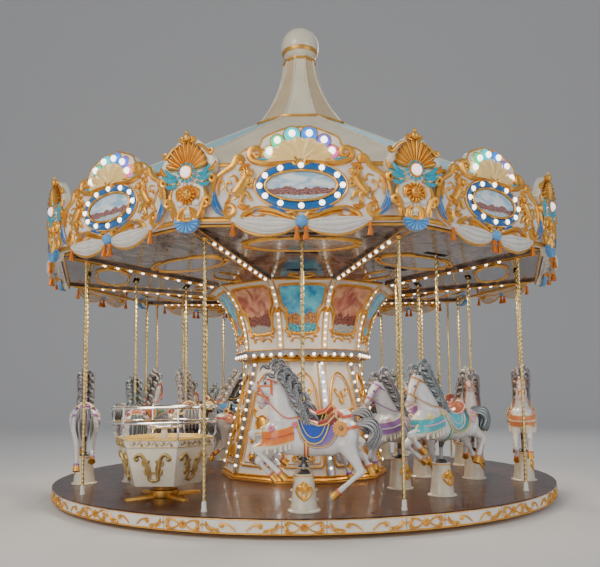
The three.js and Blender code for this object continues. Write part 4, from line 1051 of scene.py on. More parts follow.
def tack(pose, tree):
    """Saddlery as (role, form) pairs: pads and bands that follow the body, a bridle, tassels and flowers."""
    px, pz = pose["poll"]
    poll, nose = np.array([px, 0, pz - 0.045]), np.array([pose["nose"][0], 0, pose["nose"][1]])
    run = (nose - poll) / np.linalg.norm(nose - poll)
    over = np.cross([0, 1, 0], run)
    parts = [
        ("blanket", pad(0.17, 0.0, 0.262, 2.06, 0.010)),
        ("trim", rim_of_pad(0.17, 0.0, 0.248, 1.97, 0.012, 0.008)),
        ("trim", rim_of_pad(0.17, 0.0, 0.226, 1.86, 0.012, 0.004)),
        ("flap", pad(0.115, 0.0, 0.195, 1.80, 0.024, power=2.2)),
        ("flap_trim", rim_of_pad(0.115, 0.0, 0.188, 1.73, 0.026, 0.008, power=2.2)),
        ("flap_trim", rim_of_pad(0.115, 0.0, 0.150, 1.42, 0.027, 0.005, power=2.2)),
    ]
    s = np.linspace(0, 1, 20)
    x = -0.055 + 0.455 * s
    ridge = np.interp(s, [0, 0.12, 0.3, 0.5, 0.72, 0.9, 1.0],
                      [1.105, 1.165, 1.110, 1.078, 1.105, 1.195, 1.150])
    half = np.interp(s, [0, 0.12, 0.35, 0.6, 0.85, 1], [0.030, 0.075, 0.115, 0.150, 0.140, 0.070])
    e = np.linspace(-1, 1, 11)
    top = np.stack([x[:, None] + 0 * e, half[:, None] * e, ridge[:, None] - 0.055 * np.abs(e) ** 2.2], -1)
    low = np.stack([x[:, None] + 0 * e, half[:, None] * e * 0.9, 1.02 - 0.03 * np.abs(e) + 0 * x[:, None]],
                   -1)[:, ::-1]
    parts.append(("seat", skin(np.concatenate([top, low], 1))))
    for rows in (slice(17, 20), slice(1, 4)):
        rim = top[rows].mean(0) + [0.0, 0, 0.012]
        parts.append(("flap_trim", tube(rim, 0.015, 8, up=(1, 0, 0))))
    for y in (-1, 1):
        side = np.stack([x, y * half * 1.0, ridge - 0.052], -1)
        parts.append(("flap_trim", tube(side, 0.009, 6)))
    parts.append(("girth",
                  strap(tree, (0.03, 0, 0.88), (1, 0, 0), 1.2, TAU - 1.2, 0.055, 0.011, (0, 0, 1),
                        (0, 1, 0))))
    parts.append(("girth_trim",
                  strap(tree, (0.03, 0, 0.88), (1, 0, 0), 1.2, TAU - 1.2, 0.018, 0.016, (0, 0, 1),
                        (0, 1, 0))))
    count = 44
    a = np.linspace(-1.85, 1.85, count)
    level = 0.955 - 0.075 * np.cos(a * 0.85)
    centre = np.stack([-0.16 + 0 * a, 0 * a, level], -1)
    for role, width, lift in (("breast", 0.160, 0.014), ("breast_trim", 0.182, 0.008),
                              ("breast_line", 0.018, 0.021)):
        parts.append((role,
                      strap(tree, centre, (0, 0, 1), a[0], a[-1], width, lift, (-1, 0, 0), (0, 1, 0), count)))
    ring = hug(tree, centre[3:-3:3] - [0, 0, 0.098],
               np.stack([-np.cos(a[3:-3:3]), np.sin(a[3:-3:3]), 0 * a[3:-3:3]], -1), 0.018)
    for p in ring:
        parts.append(("tassel",
                      tube([p, p - [0, 0, 0.025], p - [0, 0, 0.07]], [0.008, 0.014, 0.018], 7, up=(1, 0, 0))))
    rump = np.linspace(-1.75, 1.75, 30)
    centre = np.stack([0.42 + 0 * rump, 0 * rump, 0.965 + 0.05 * np.cos(rump * 0.8)], -1)
    parts.append(("strap",
                  strap(tree, centre, (0, 0, 1), rump[0], rump[-1], 0.038, 0.009, (1, 0, 0), (0, 1, 0), 30)))
    for share, width in ((0.12, 0.030), (0.70, 0.028)):
        c = poll + run * share * np.linalg.norm(nose - poll)
        parts.append(("strap", strap(tree, c, run, 0, TAU, width, 0.006, over, (0, 1, 0), 24, HEAD_REACH)))
    reach = np.linalg.norm(nose - poll)
    for y in (-1, 1):
        along = np.linspace(0.12, 0.70, 9)
        o = poll + run * (along * reach)[:, None]
        edge = hug(tree, o, np.tile([0, float(y), 0], (9, 1)), 0.007, HEAD_REACH)
        parts.append(("strap", tube(edge, 0.013, 6, 0.5, up=(0, 1, 0))))
        parts.append(("boss", ball(edge[-1] + [0, y * 0.004, 0], (0.020, 0.010, 0.020), 10, 6)))
        parts.append(("boss", ball(edge[1] + [0, y * 0.004, 0], (0.016, 0.009, 0.016), 10, 6)))
        rein = smooth_path([edge[-1], edge[-1] * 0.5 + np.array([-0.30, y * 0.10, 1.20]) * 0.5 - [0, 0, 0.03],
                            (-0.22, y * 0.125, 1.13), (-0.04, y * 0.08, 1.13)], 20)
        parts.append(("strap", tube(rein, 0.008, 6, 0.6, up=(0, 1, 0))))
        eye = hug(tree, (poll + run * 0.40 * reach)[None] + over * 0.030 * np.sign(over[2]),
                  np.array([[0, float(y), 0]]), -0.008, HEAD_REACH)[0]
        parts.append(("eye", ball(eye, (0.019, 0.012, 0.016), 10, 6)))
        lid = np.stack([eye + 0.019 * (math.cos(t) * run + math.sin(t) * over) + [0, y * 0.004, 0]
                        for t in np.linspace(0, TAU, 13)])
        parts.append(("eye_rim", tube(lid, 0.0035, 5, up=(0, 1, 0))))
        tip = hug(tree, (poll + run * 0.93 * reach)[None], np.array([[0, float(y), 0]]), -0.004,
                  HEAD_REACH)[0]
        parts.append(("eye", ball(tip, (0.010, 0.006, 0.008), 8, 5)))
        spot = barrel_at(np.array(0.42), np.array(y * 1.10), 0.012)
        petals, core = flower(spot, (0.25, y, 0.35), 0.100, 16)
        parts += [("petal", petals), ("core", core)]
        spot = hug(tree, np.array([[-0.28, 0, 0.985]]), np.array([[-0.45, y * 0.9, 0.1]]), 0.020)[0]
        petals, core = flower(spot, (-0.4, y, 0.1), 0.040, 8)
        parts += [("rose", petals), ("core", core)]
        spot = hug(tree, np.array([[-0.10, 0, 1.02]]), np.array([[0.0, y * 1.0, 0.15]]), 0.016)[0]
        petals, core = flower(spot, (0, y, 0.2), 0.036, 7)
        parts += [("rose", petals), ("core", core)]
    for end in ("fore", "hind"):
        for k, (kx, kz, hx, hz) in enumerate(pose[end]):
            y = (-1 if k == 0 else 1) * (0.095 if end == "fore" else 0.105)
            knee, hoof = np.array([kx, y, kz]), np.array([hx, y, hz])
            down = (hoof - knee) / np.linalg.norm(hoof - knee)
            path = hoof + np.array([-0.078, -0.070, -0.030, 0.012, 0.014])[:, None] * down
            parts.append(("hoof", tube(path, [0.036, 0.040, 0.044, 0.052, 0.040], 14, up=(0, 1, 0))))
            cuff = hoof + np.array([-0.100, -0.092, -0.070, -0.062])[:, None] * down
            parts.append(("strap", tube(cuff, [0.036, 0.042, 0.042, 0.036], 12, up=(0, 1, 0))))
    return parts


def twisted(low, high, radius, pitch=0.075, sides=10, step=0.011):
    """A twisted tube on the mast's axis: radius * (0.9 + 0.1 cos(2 a - 2 pi z / pitch))."""
    z = np.arange(low, high, step)[:, None]
    a = TAU * np.arange(sides)[None] / sides
    r = radius * (0.90 + 0.10 * np.cos(2 * a - TAU * z / pitch))
    return skin(np.stack([r * np.cos(a), r * np.sin(a), z + 0 * a], -1))


WHITE_COAT, GREY_COAT, SILVER_COAT, BLACK_COAT = (
    (0.88, 0.86, 0.83), (0.60, 0.60, 0.62), (0.74, 0.75, 0.77), (0.055, 0.05, 0.055))
LIVERIES = {
    "royal": dict(coat=WHITE_COAT, hair=(0.07, 0.07, 0.09), blanket=(0.24, 0.16, 0.55),
                  trim=(0.85, 0.55, 0.12),
                  flap=(0.03, 0.10, 0.50), flap_trim=(0.90, 0.68, 0.15), seat=(0.35, 0.03, 0.04),
                  girth=(0.62, 0.06, 0.04), girth_trim=(0.9, 0.7, 0.2), breast=(0.85, 0.20, 0.02),
                  breast_trim=(0.92, 0.72, 0.16), breast_line=(0.55, 0.10, 0.05), strap=(0.75, 0.16, 0.05),
                  petal=(0.92, 0.36, 0.02), rose=(0.85, 0.16, 0.30), core=(0.35, 0.15, 0.06)),
    "lagoon": dict(coat=WHITE_COAT, hair=(0.02, 0.12, 0.14), blanket=(0.05, 0.42, 0.46),
                   trim=(0.90, 0.66, 0.20),
                   flap=(0.10, 0.58, 0.62), flap_trim=(0.92, 0.60, 0.66), seat=(0.50, 0.14, 0.07),
                   girth=(0.05, 0.35, 0.40), girth_trim=(0.9, 0.75, 0.3), breast=(0.06, 0.50, 0.56),
                   breast_trim=(0.92, 0.76, 0.30), breast_line=(0.90, 0.45, 0.60), strap=(0.62, 0.26, 0.08),
                   petal=(0.92, 0.45, 0.62), rose=(0.94, 0.78, 0.22), core=(0.85, 0.60, 0.10)),
    "poppy": dict(coat=WHITE_COAT, hair=(0.05, 0.045, 0.05), blanket=(0.80, 0.62, 0.10),
                  trim=(0.75, 0.08, 0.05),
                  flap=(0.04, 0.04, 0.05), flap_trim=(0.90, 0.66, 0.12), seat=(0.62, 0.05, 0.04),
                  girth=(0.70, 0.10, 0.04), girth_trim=(0.9, 0.7, 0.2), breast=(0.85, 0.62, 0.10),
                  breast_trim=(0.68, 0.07, 0.05), breast_line=(0.05, 0.05, 0.05), strap=(0.70, 0.12, 0.05),
                  petal=(0.88, 0.12, 0.08), rose=(0.94, 0.70, 0.12), core=(0.10, 0.08, 0.06)),
    "violet": dict(coat=SILVER_COAT, hair=(0.09, 0.08, 0.11), blanket=(0.30, 0.12, 0.42),
                   trim=(0.80, 0.80, 0.86),
                   flap=(0.42, 0.20, 0.55), flap_trim=(0.86, 0.74, 0.35), seat=(0.20, 0.06, 0.24),
                   girth=(0.30, 0.10, 0.40), girth_trim=(0.8, 0.8, 0.85), breast=(0.36, 0.16, 0.50),
                   breast_trim=(0.86, 0.78, 0.46), breast_line=(0.85, 0.85, 0.9), strap=(0.34, 0.12, 0.46),
                   petal=(0.74, 0.60, 0.88), rose=(0.90, 0.55, 0.70), core=(0.85, 0.70, 0.2)),
    "amber": dict(coat=WHITE_COAT, hair=(0.16, 0.08, 0.05), blanket=(0.82, 0.24, 0.07),
                  trim=(0.92, 0.74, 0.25),
                  flap=(0.66, 0.10, 0.06), flap_trim=(0.92, 0.74, 0.25), seat=(0.30, 0.12, 0.06),
                  girth=(0.80, 0.25, 0.07), girth_trim=(0.95, 0.8, 0.3), breast=(0.84, 0.26, 0.08),
                  breast_trim=(0.92, 0.78, 0.32), breast_line=(0.96, 0.9, 0.7), strap=(0.82, 0.22, 0.06),
                  petal=(0.96, 0.80, 0.30), rose=(0.90, 0.30, 0.20), core=(0.45, 0.20, 0.06)),
    "meadow": dict(coat=GREY_COAT, hair=(0.05, 0.05, 0.055), blanket=(0.05, 0.32, 0.16),
                   trim=(0.90, 0.70, 0.22),
                   flap=(0.62, 0.07, 0.06), flap_trim=(0.90, 0.70, 0.22), seat=(0.25, 0.05, 0.04),
                   girth=(0.05, 0.30, 0.15), girth_trim=(0.9, 0.7, 0.2), breast=(0.07, 0.38, 0.20),
                   breast_trim=(0.92, 0.74, 0.26), breast_line=(0.70, 0.08, 0.06), strap=(0.55, 0.07, 0.05),
                   petal=(0.92, 0.30, 0.24), rose=(0.95, 0.85, 0.80), core=(0.90, 0.70, 0.2)),
    "ink": dict(coat=BLACK_COAT, hair=(0.40, 0.34, 0.28), blanket=(0.05, 0.18, 0.48), trim=(0.85, 0.62, 0.20),
                flap=(0.08, 0.26, 0.60), flap_trim=(0.88, 0.66, 0.24), seat=(0.34, 0.10, 0.06),
                girth=(0.05, 0.16, 0.44), girth_trim=(0.85, 0.65, 0.25), breast=(0.09, 0.30, 0.62),
                breast_trim=(0.88, 0.68, 0.26), breast_line=(0.92, 0.85, 0.7), strap=(0.72, 0.50, 0.16),
                petal=(0.92, 0.76, 0.30), rose=(0.30, 0.60, 0.85), core=(0.85, 0.3, 0.2)),
}
SHARED = dict(tassel=(0.90, 0.80, 0.62), eye=(0.02, 0.015, 0.015), eye_rim=(0.30, 0.18, 0.14))
HOOF_LIKE = ("hoof", "boss")
STABLE = {
    (1, "outer"): "royal", (1, "middle"): "poppy", (1, "inner"): "violet", (2, "outer"): "lagoon",
    (2, "inner"): "violet", (3, "outer"): "amber", (3, "middle"): "amber", (3, "inner"): "royal",
    (4, "outer"): "meadow", (4, "inner"): "royal", (5, "outer"): "poppy", (5, "middle"): "lagoon",
    (5, "inner"): "ink", (6, "outer"): "royal", (6, "inner"): "amber", (7, "outer"): "lagoon",
    (7, "middle"): "ink", (7, "inner"): "meadow", (8, "outer"): "meadow", (8, "inner"): "poppy",
    (9, "outer"): "violet", (9, "middle"): "lagoon", (9, "inner"): "ink",
}


def pole_fittings():
    """The horse's twisted pole with its red knob above the saddle, and the boot that slides in the pedestal."""
    rod = twisted(0.60, 3.449, 0.0235)
    shank = lathe([(0.0, 0.216), (0.024, 0.217), (0.0245, 0.60), (0.0, 0.601)], 14)
    knob = joined([ball((0, 0, 1.170), (0.034, 0.034, 0.040), 14, 9),
                   lathe([(0.0, 1.118), (0.030, 1.120), (0.034, 1.128), (0.028, 1.136), (0.0, 1.138)], 14)])
    ferrules = joined([
        lathe([(0.0, z), (r, z + 0.004), (r * 1.12, z + 0.014), (r, z + 0.024), (0.0, z + 0.028)], 14)
        for z, r in ((0.628, 0.0248), (1.205, 0.027), (3.36, 0.027))])
    boot = lathe([(0.0, 0.585), (0.0262, 0.588), (0.0277, 0.60), (0.0277, 0.660), (0.0262, 0.672),
                  (0.0, 0.674)], 14)
    return rod, shank, knob, ferrules, boot


TAIL_FROM, TAIL_TUCK = 0.62, 0.45  # inner rows only, so that the tail clears the next horse's nose


def tucked(hair):
    """The hair with what lies past x = TAIL_FROM drawn in: x - (x - TAIL_FROM) * (1 - TAIL_TUCK)."""
    v = hair.v.copy()
    v[:, 0] -= np.clip(v[:, 0] - TAIL_FROM, 0, None) * (1 - TAIL_TUCK)
    return hair.at(v)


def region_tint(body, pose, coat):
    """The coat's colour per point: pinker by the muzzle, greyer low on the legs."""
    tint = np.tile(np.asarray(coat, float), (len(body.v), 1))
    nose = np.array([pose["nose"][0], 0, pose["nose"][1]])
    near = np.clip(1 - np.linalg.norm(body.v - nose, axis=1) / 0.14, 0, 1)[:, None]
    soft = np.array([0.80, 0.52, 0.48]) * (0.4 + 0.6 * min(1.0, sum(coat) / 2))
    tint = tint * (1 - 0.7 * near) + soft * 0.7 * near
    low = np.clip((0.62 - body.v[:, 2]) / 0.3, 0, 1)[:, None] * 0.25
    return tint * (1 - low) + np.array([0.62, 0.56, 0.52]) * low * min(1.0, sum(coat) / 2 + 0.1)


def make_horses():
    """Each horse from its sector, row, pose and livery: body, hair, tack and pole."""
    rod, shank, knob, ferrules, boot = pole_fittings()
    names, made = list(POSES), {}
    for name, pose in POSES.items():
        body, tree = fused(flesh(pose), 0.0135)
        made[name] = (body, mane_and_tail(pose), tack(pose, tree))
    for sector in range(1, 10):
        angle = FACES[sector - 1]
        for i, (row, radius, side) in enumerate(ROWS[sector % 2]):
            pose = names[(sector - 1 + i) % 3]
            body, locks_, gear = made[pose]
            livery = {**SHARED, **LIVERIES[STABLE[(sector, row)]]}
            node = f"horse_{sector}_{row}"
            lift = DECK + STROKE * CRANK_REST[sector - 1] * side

            def home(form):
                return form.moved(0, -radius, lift).spun(angle)

            coated = Form(body.v, body.q, body.t, body.uv, region_tint(body, POSES[pose], livery["coat"]))
            put(f"{node}_body", [(home(coated), COAT)], node, [node], "horse_paint", crease=70)
            hair = tucked(locks_) if row == "inner" else locks_
            put(f"{node}_hair", [(home(hair.painted(livery["hair"])), HAIR)], node, slot="horse_paint",
                crease=60)
            trim = joined([home(f.painted(livery[role])) for role, f in gear if role not in HOOF_LIKE])
            gold = joined([home(f) for role, f in gear if role in HOOF_LIKE])
            put(f"{node}_tack", [(trim, PAINTED), (gold, GOLD)], node, slot="saddle_paint")
            red = home(knob.painted((0.65, 0.04, 0.03)))
            put(f"{node}_pole", [(home(joined([rod, ferrules])), BRASS), (home(shank), STEEL), (red, PAINTED),
                                 (home(boot), BLACK)], node, slot="rim_brass")


make_horses()


# ---- Crest boards ---------------------------------------------------------------------------------
# Drawn on the front face as (x, z) from the board's middle, and then repeated on every face.
CREST_Z = 3.904
CREST_FRONT = 4.030
# The shell ribs glow a little though they hold no lamp: painted light from the bulbs near them.
SHELL_RIBS = enamel("shell_ribs", (0.95, 0.66, 0.24), dust_shade_colour=(0.45, 0.22, 0.05), glow=0.12)
# The swags' folds darken strongly towards brown: dirt, and painted shade in the creases.
PLASTER = enamel("swag_plaster", (0.87, 0.84, 0.79), dust_shade=0.8, dust_shade_colour=(0.42, 0.36, 0.30))


def ribbed_ball(centre, radius, ribs, depth, rows=13, around_=60):
    """A fluted ball: radius * sin b * (0.93 + 0.10 |cos(a * ribs / 2)|) round its upright axis."""
    b = np.linspace(0.05, math.pi - 0.05, rows)[:, None]
    a = TAU * np.arange(around_)[None] / around_
    r = radius * np.sin(b) * (0.93 + 0.10 * np.abs(np.cos(a * ribs / 2)))
    x, z = centre
    return skin(np.stack([x + r * np.cos(a), -depth + r * np.sin(a), z + radius * np.cos(b) + 0 * a], -1))


def tassel(x, top, length, depth, width=0.030):
    """A knotted head over a flared skirt of threads."""
    head = ball((x, -depth, top), (width * 0.75, width * 0.75, width * 0.7), 12, 7)
    z = np.array([0.0, -0.06, -0.16, -0.30, -0.45, -0.75, -1.0, -1.0]) * length
    r = width * np.array([0.25, 0.55, 0.72, 0.50, 0.72, 0.95, 1.10, 0.3])
    a = TAU * np.arange(28)[None] / 28
    rr = r[:, None] * (1 + 0.10 * np.cos(7 * a) * (np.arange(8)[:, None] > 3))
    skirt = skin(np.stack([x + rr * np.cos(a), -depth + rr * np.sin(a), top + z[:, None] + 0 * a], -1))
    return joined([head, skirt])


def swag(depth):
    """Half of a draped cloth: rows of hanging folds between a nearly level top edge and a sagging hem."""
    s = np.linspace(0, 1, 26)
    top = smooth_path([(-0.045, -0.405), (-0.25, -0.372), (-0.50, -0.362), (-0.775, -0.365)], 26)
    hem = smooth_path([(-0.060, -0.470), (-0.20, -0.538), (-0.43, -0.566), (-0.64, -0.505), (-0.790, -0.395)],
                      26)
    v = np.linspace(0, 1, 22)
    flat = top[:, None] * (1 - v[None, :, None]) + hem[:, None] * v[None, :, None]
    flat[..., 1] -= 0.025 * np.sin(np.pi * s)[:, None] * np.sin(np.pi * v)[None]
    puff = 0.020 + 0.050 * np.sin(np.pi * s)[:,
                                             None] ** 0.6 * np.sin(np.pi * np.clip(v + 0.12, 0,
                                                 1))[None] ** 0.7
    folds = 0.016 * np.cos(TAU * 3.5 * v[None] + 1.2 * s[:, None]) * np.sin(np.pi * s)[:, None] ** 0.5
    front = np.stack([flat[..., 0], -depth - puff - folds, flat[..., 1]], -1)
    back = np.stack([flat[..., 0], -depth + 0 * puff, flat[..., 1]], -1)[:, ::-1]
    return skin(np.concatenate([front, back[:, ::3]], 1)), hem


def lion(depth):
    """A plain carved lion standing on its hind legs, drawn as thick tapering limbs and a round mane."""
    def bar(points, radius):
        p = smooth_path(points, 14)
        r = np.interp(np.linspace(0, 1, 14), np.linspace(0, 1, len(radius)), radius)
        return tube(np.stack([p[:, 0], -depth + 0 * r, p[:, 1]], -1), r, 9, 0.9, up=(0, 1, 0))

    body = bar([(-0.745, -0.085), (-0.70, -0.035), (-0.655, 0.03), (-0.615, 0.095)],
               [0.045, 0.050, 0.056, 0.050])
    mane = [bar([(-0.60, 0.135), (-0.60 + 0.085 * math.cos(a), 0.135 + 0.085 * math.sin(a))], [0.030, 0.008])
            for a in np.linspace(0.3, TAU - 0.9, 12)]
    face = ball((-0.585, -depth - 0.035, 0.145), (0.042, 0.036, 0.045), 12, 8)
    muzzle = ball((-0.560, -depth - 0.055, 0.128), (0.024, 0.026, 0.020), 10, 6)
    limbs = [
        bar([(-0.63, 0.06), (-0.565, 0.045), (-0.545, 0.090)], [0.026, 0.020, 0.020]),
        bar([(-0.64, 0.03), (-0.575, -0.010), (-0.545, 0.010)], [0.026, 0.020, 0.020]),
        bar([(-0.73, -0.07), (-0.66, -0.115), (-0.685, -0.185), (-0.640, -0.195)],
            [0.042, 0.026, 0.018, 0.018]),
        bar([(-0.74, -0.08), (-0.615, -0.075), (-0.575, -0.140), (-0.545, -0.150)],
            [0.040, 0.026, 0.018, 0.018]),
        bar([(-0.77, -0.09), (-0.83, -0.06), (-0.845, 0.02), (-0.805, 0.055), (-0.79, 0.03)],
            [0.014, 0.010, 0.009, 0.014, 0.018]),
    ]
    return joined([body, *mane, face, muzzle, *limbs])


def crest():
    """One crest board's pieces by finish, each a form drawn on the front face."""
    d = CREST_FRONT
    half = [(0.0, -0.43), (-0.33, -0.425), (-0.62, -0.40), (-0.86, -0.345), (-0.985, -0.18), (-1.000, -0.02),
            (-0.945, 0.13), (-0.80, 0.225), (-0.72, 0.345), (-0.62, 0.430), (-0.47, 0.470), (-0.42, 0.56),
            (-0.28, 0.63), (-0.12, 0.680)]
    outline = closed_curve(half + [(-x, z) for x, z in half[:0:-1]], 150)
    gold = [
        scroll([(-0.945, 0.110), (-0.860, 0.175), (-0.775, 0.235), (-0.735, 0.320)], 0.036, d,
               (0.050, 0.9, -1)),
        scroll([(-0.930, 0.125), (-0.985, 0.010), (-0.990, -0.120), (-0.945, -0.235), (-0.865, -0.315)],
               0.036, d,
               (0.078, 1.1, 1)),
        scroll([(-0.880, 0.115), (-0.925, 0.010), (-0.925, -0.10)], 0.018, d + 0.01),
        scroll([(-0.030, 0.270), (-0.130, 0.335), (-0.270, 0.305), (-0.390, 0.262), (-0.520, 0.285)], 0.036,
               d + 0.01,
               (0.092, 1.2, -1)),
        scroll([(-0.060, 0.245), (-0.150, 0.288), (-0.290, 0.262), (-0.400, 0.232)], 0.018, d + 0.01),
        scroll([(-0.150, 0.335), (-0.080, 0.325), (-0.045, 0.285)], 0.024, d + 0.02, (0.030, 0.9, -1)),
        scroll([(-0.030, -0.355), (-0.140, -0.345), (-0.310, -0.280), (-0.480, -0.255), (-0.610, -0.300)],
               0.034, d + 0.01,
               (0.088, 1.2, 1)),
        scroll([(-0.070, -0.385), (-0.170, -0.375), (-0.330, -0.320), (-0.460, -0.300)], 0.016, d + 0.01),
        scroll([(-0.150, -0.310), (-0.090, -0.300), (-0.055, -0.330)], 0.022, d + 0.02, (0.028, 0.9, -1)),
        scroll([(-0.780, -0.160), (-0.725, -0.110), (-0.740, -0.040)], 0.014, d, (0.026, 0.8, 1)),
        scroll([(-0.820, 0.110), (-0.760, 0.130), (-0.720, 0.100)], 0.014, d, (0.024, 0.8, -1)),
        scroll([(-0.900, -0.040), (-0.860, 0.010), (-0.880, 0.060)], 0.012, d, (0.020, 0.8, 1)),
        leaf([(-0.700, 0.180), (-0.640, 0.235), (-0.560, 0.250)], 0.034, d, 0.03, 3),
        leaf([(-0.720, -0.215), (-0.650, -0.240), (-0.570, -0.215)], 0.032, d, 0.03, 3),
        leaf([(-0.300, 0.345), (-0.360, 0.400), (-0.440, 0.420)], 0.026, d, 0.03, 3),
        leaf([(-0.760, 0.260), (-0.690, 0.300), (-0.650, 0.370)], 0.026, d, 0.03, 3),
        leaf([(-0.860, -0.200), (-0.810, -0.150), (-0.800, -0.080)], 0.024, d, 0.025, 3),
        leaf([(-0.400, -0.300), (-0.450, -0.345), (-0.520, -0.350)], 0.024, d + 0.01, 0.025, 3),
        lion(d + 0.02),
    ]
    cloth, hem = swag(d + 0.005)
    gold.append(scroll([tuple(p) for p in hem[::3]], 0.015, d + 0.022))
    rims = [hoop(ellipse(0.405, 0.173), 0.014, d + 0.035, 8),
            hoop(ellipse(0.520, 0.284), 0.013, d + 0.012, 8)]
    edge = hoop(outline, 0.013, d - 0.004, 6)
    blue = [
        leaf([(-0.975, -0.045), (-0.972, -0.170), (-0.925, -0.270), (-0.840, -0.345)], 0.046, d + 0.022,
             0.022),
        leaf([(-0.370, -0.235), (-0.270, -0.265), (-0.160, -0.335)], 0.036, d + 0.020, 0.020),
        leaf([(-0.560, -0.300), (-0.490, -0.262), (-0.410, -0.258)], 0.018, d + 0.030, 0.016),
    ]
    band = hoop(ellipse(0.463, 0.229), 0.056, d, 10, 0.62)
    a = TAU * np.arange(12) / 12
    bulbs = joined([ball((0.466 * math.cos(t), -d - 0.040, 0.231 * math.sin(t)), (0.031, 0.028, 0.031), 12, 7)
                    for t in a])
    cups = joined([hoop(ellipse(0.033, 0.033, (0.466 * math.cos(t), 0.231 * math.sin(t)), 14), 0.006,
                        d + 0.034, 5) for t in a])
    lobes, lamps, lobe_rims = [], [], []
    hues = [(0.75, 0.95, 0.70), (0.02, 0.70, 0.30), (0.0, 0.62, 0.70), (0.0, 0.22, 0.85), (0.12, 0.14, 0.85),
            (0.85, 0.16, 0.50)]
    spots = [(-0.350, 0.392), (-0.262, 0.520), (-0.097, 0.597), (0.097, 0.597), (0.262, 0.520),
             (0.350, 0.392)]
    for (x, z), hue in zip(spots, hues):
        r = 0.098 if abs(x) < 0.2 else 0.082
        lobes.append(ball((x, -d + 0.020, z), (r, 0.055, r), 24, 11).painted(hue))
        lobe_rims.append(hoop(ellipse(r, r, (x, z), 26), 0.010, d - 0.005, 6))
        lamps.append(ball((x, -d - 0.040, z), (0.040, 0.034, 0.040), 14, 8))
    s, a = np.linspace(0.10, 1, 9)[:, None], np.linspace(-0.10, math.pi + 0.10, 85)[None]
    rib = 0.020 + 0.040 * s * np.abs(np.sin(6.5 * a)) ** 0.7 + 0.02 * np.sin(np.pi * s)
    reach = 1 + 0.05 * np.abs(np.sin(6.5 * a)) * s
    fan = skin(np.stack([0.340 * s * reach * np.cos(a), -d - rib, 0.290 + 0.245 * s * reach * np.sin(a)], -1),
               wrap=False)
    picture = board(ellipse(0.400, 0.168), d - 0.01, 0.030, crown=0.004, rings=6)
    picture.uv = np.stack([picture.v[:, 0] / 0.8 + 0.5, picture.v[:, 2] / 0.34 + 0.5], -1)
    gold = joined([pair(joined(gold)), *rims, *lobe_rims])
    tassels = joined([*(tassel(x, -0.485, 0.135, d + 0.045, 0.034) for x in (-0.050, 0.050)),
                      *(tassel(x, -0.425, 0.140, d + 0.020, 0.030) for x in (-0.765, 0.765))])
    return dict(
        crest_boards=[(board(outline, d - 0.085, 0.085, 0.0), WHITE), (edge, GOLD)],
        crest_carving=[(gold, GOLD)],
        crest_inlays=[(pair(joined(blue)), BLUE), (band, BLUE),
                      (pair(leaf([(-0.520, 0.325), (-0.440, 0.295), (-0.350, 0.305)], 0.024, d + 0.02,
                                 0.016)), TURQUOISE),
                      (ribbed_ball((0, -0.405), 0.072, 12, d + 0.03), SKY_BLUE)],
        crest_swags=[(pair(cloth), PLASTER)],
        crest_shells=[(fan, SHELL_RIBS), (joined(lobes), LOBE)],
        crest_lamps=[(bulbs, BULB), (joined(lamps), BULB), (cups, CHROME)],
        crest_tassels=[(tassels, ORANGE)],
        crest_pictures=[(picture, CREST_VIEW)],
    )


def crest_slot(name):
    """The material slot of a crest's piece."""
    return {"crest_lamps": "bulb_glass", "crest_carving": "gold_leaf", "crest_tassels": "gold_leaf",
            "crest_pictures": "picture_paint", "crest_swags": "swag_paint"}.get(name, "crest_paint")


def repeat(pieces, angles, height, slots, **kwargs):
    """Puts each named set of (form, material) once at every angle; painted pictures get their own (u, v)."""
    for name, parts in pieces.items():
        made = []
        for form, material in parts:
            copies = []
            for k, angle in enumerate(angles):
                copy = form.moved(z=height).spun(angle)
                if material.name.endswith("_view"):
                    copy = Form(copy.v, copy.q, copy.t, copy.uv + [3.0 * k, 0], copy.tint)
                copies.append(copy)
            made.append((joined(copies), material))
        put(name, made, slot=slots(name), **kwargs.get(name, {}))


# ---- Corner ornaments -----------------------------------------------------------------------------
ORNAMENT_Z = 3.984
ORNAMENT_FRONT = 4.160


def fan_shell(centre, rx, rz, depth, ribs, low=-0.25, thick=0.05):
    """A scallop shell: ribs spread from its hinge, |sin| across them, growing thicker outwards."""
    n = ribs * 8 + 1
    a = np.linspace(low, math.pi - low, n)[None]
    s = np.linspace(0.08, 1, 10)[:, None]
    wave = np.abs(np.sin((a - low) / (math.pi - 2 * low) * math.pi * ribs)) ** 0.6
    reach = s * (0.92 + 0.10 * wave * s)
    y = -depth - thick * (0.35 + 0.65 * wave) * (0.4 + 0.6 * s) * np.cos(0.7 * s) - 0.02
    front = np.stack([centre[0] + rx * reach * np.cos(a), y, centre[1] + rz * reach * np.sin(a)], -1)
    back = front.copy()
    back[..., 1] = -depth + 0.01
    rim = np.stack([front[-1], back[-1]])
    return joined([skin(front, wrap=False), skin(rim, wrap=False, low="open", high="open"),
                   skin(back, wrap=False).turned_out()])


def mask(depth):
    """A plain lion mask: a round face with brow, cheeks and muzzle in a mane of short leaves."""
    face = ball((0, -depth - 0.012, -0.145), (0.062, 0.050, 0.072), 18, 11)
    extra = [ball((x, -depth - 0.052, z), r, 10, 6) for x, z, r in (
        (-0.024, -0.165, (0.024, 0.020, 0.020)), (0.024, -0.165, (0.024, 0.020, 0.020)),
        (0, -0.140, (0.013, 0.026, 0.026)), (-0.028, -0.118, (0.020, 0.014, 0.010)),
        (0.028, -0.118, (0.020, 0.014, 0.010)), (0, -0.195, (0.022, 0.020, 0.012)))]
    mane = [leaf([(0.050 * math.cos(a), -0.145 + 0.058 * math.sin(a)),
                  (0.118 * math.cos(a + 0.18), -0.145 + 0.128 * math.sin(a + 0.18))], 0.020, depth, 0.034, 0,
                 8, 5)
            for a in np.linspace(0, TAU, 15)[:-1]]
    return joined([face, *extra, *mane])


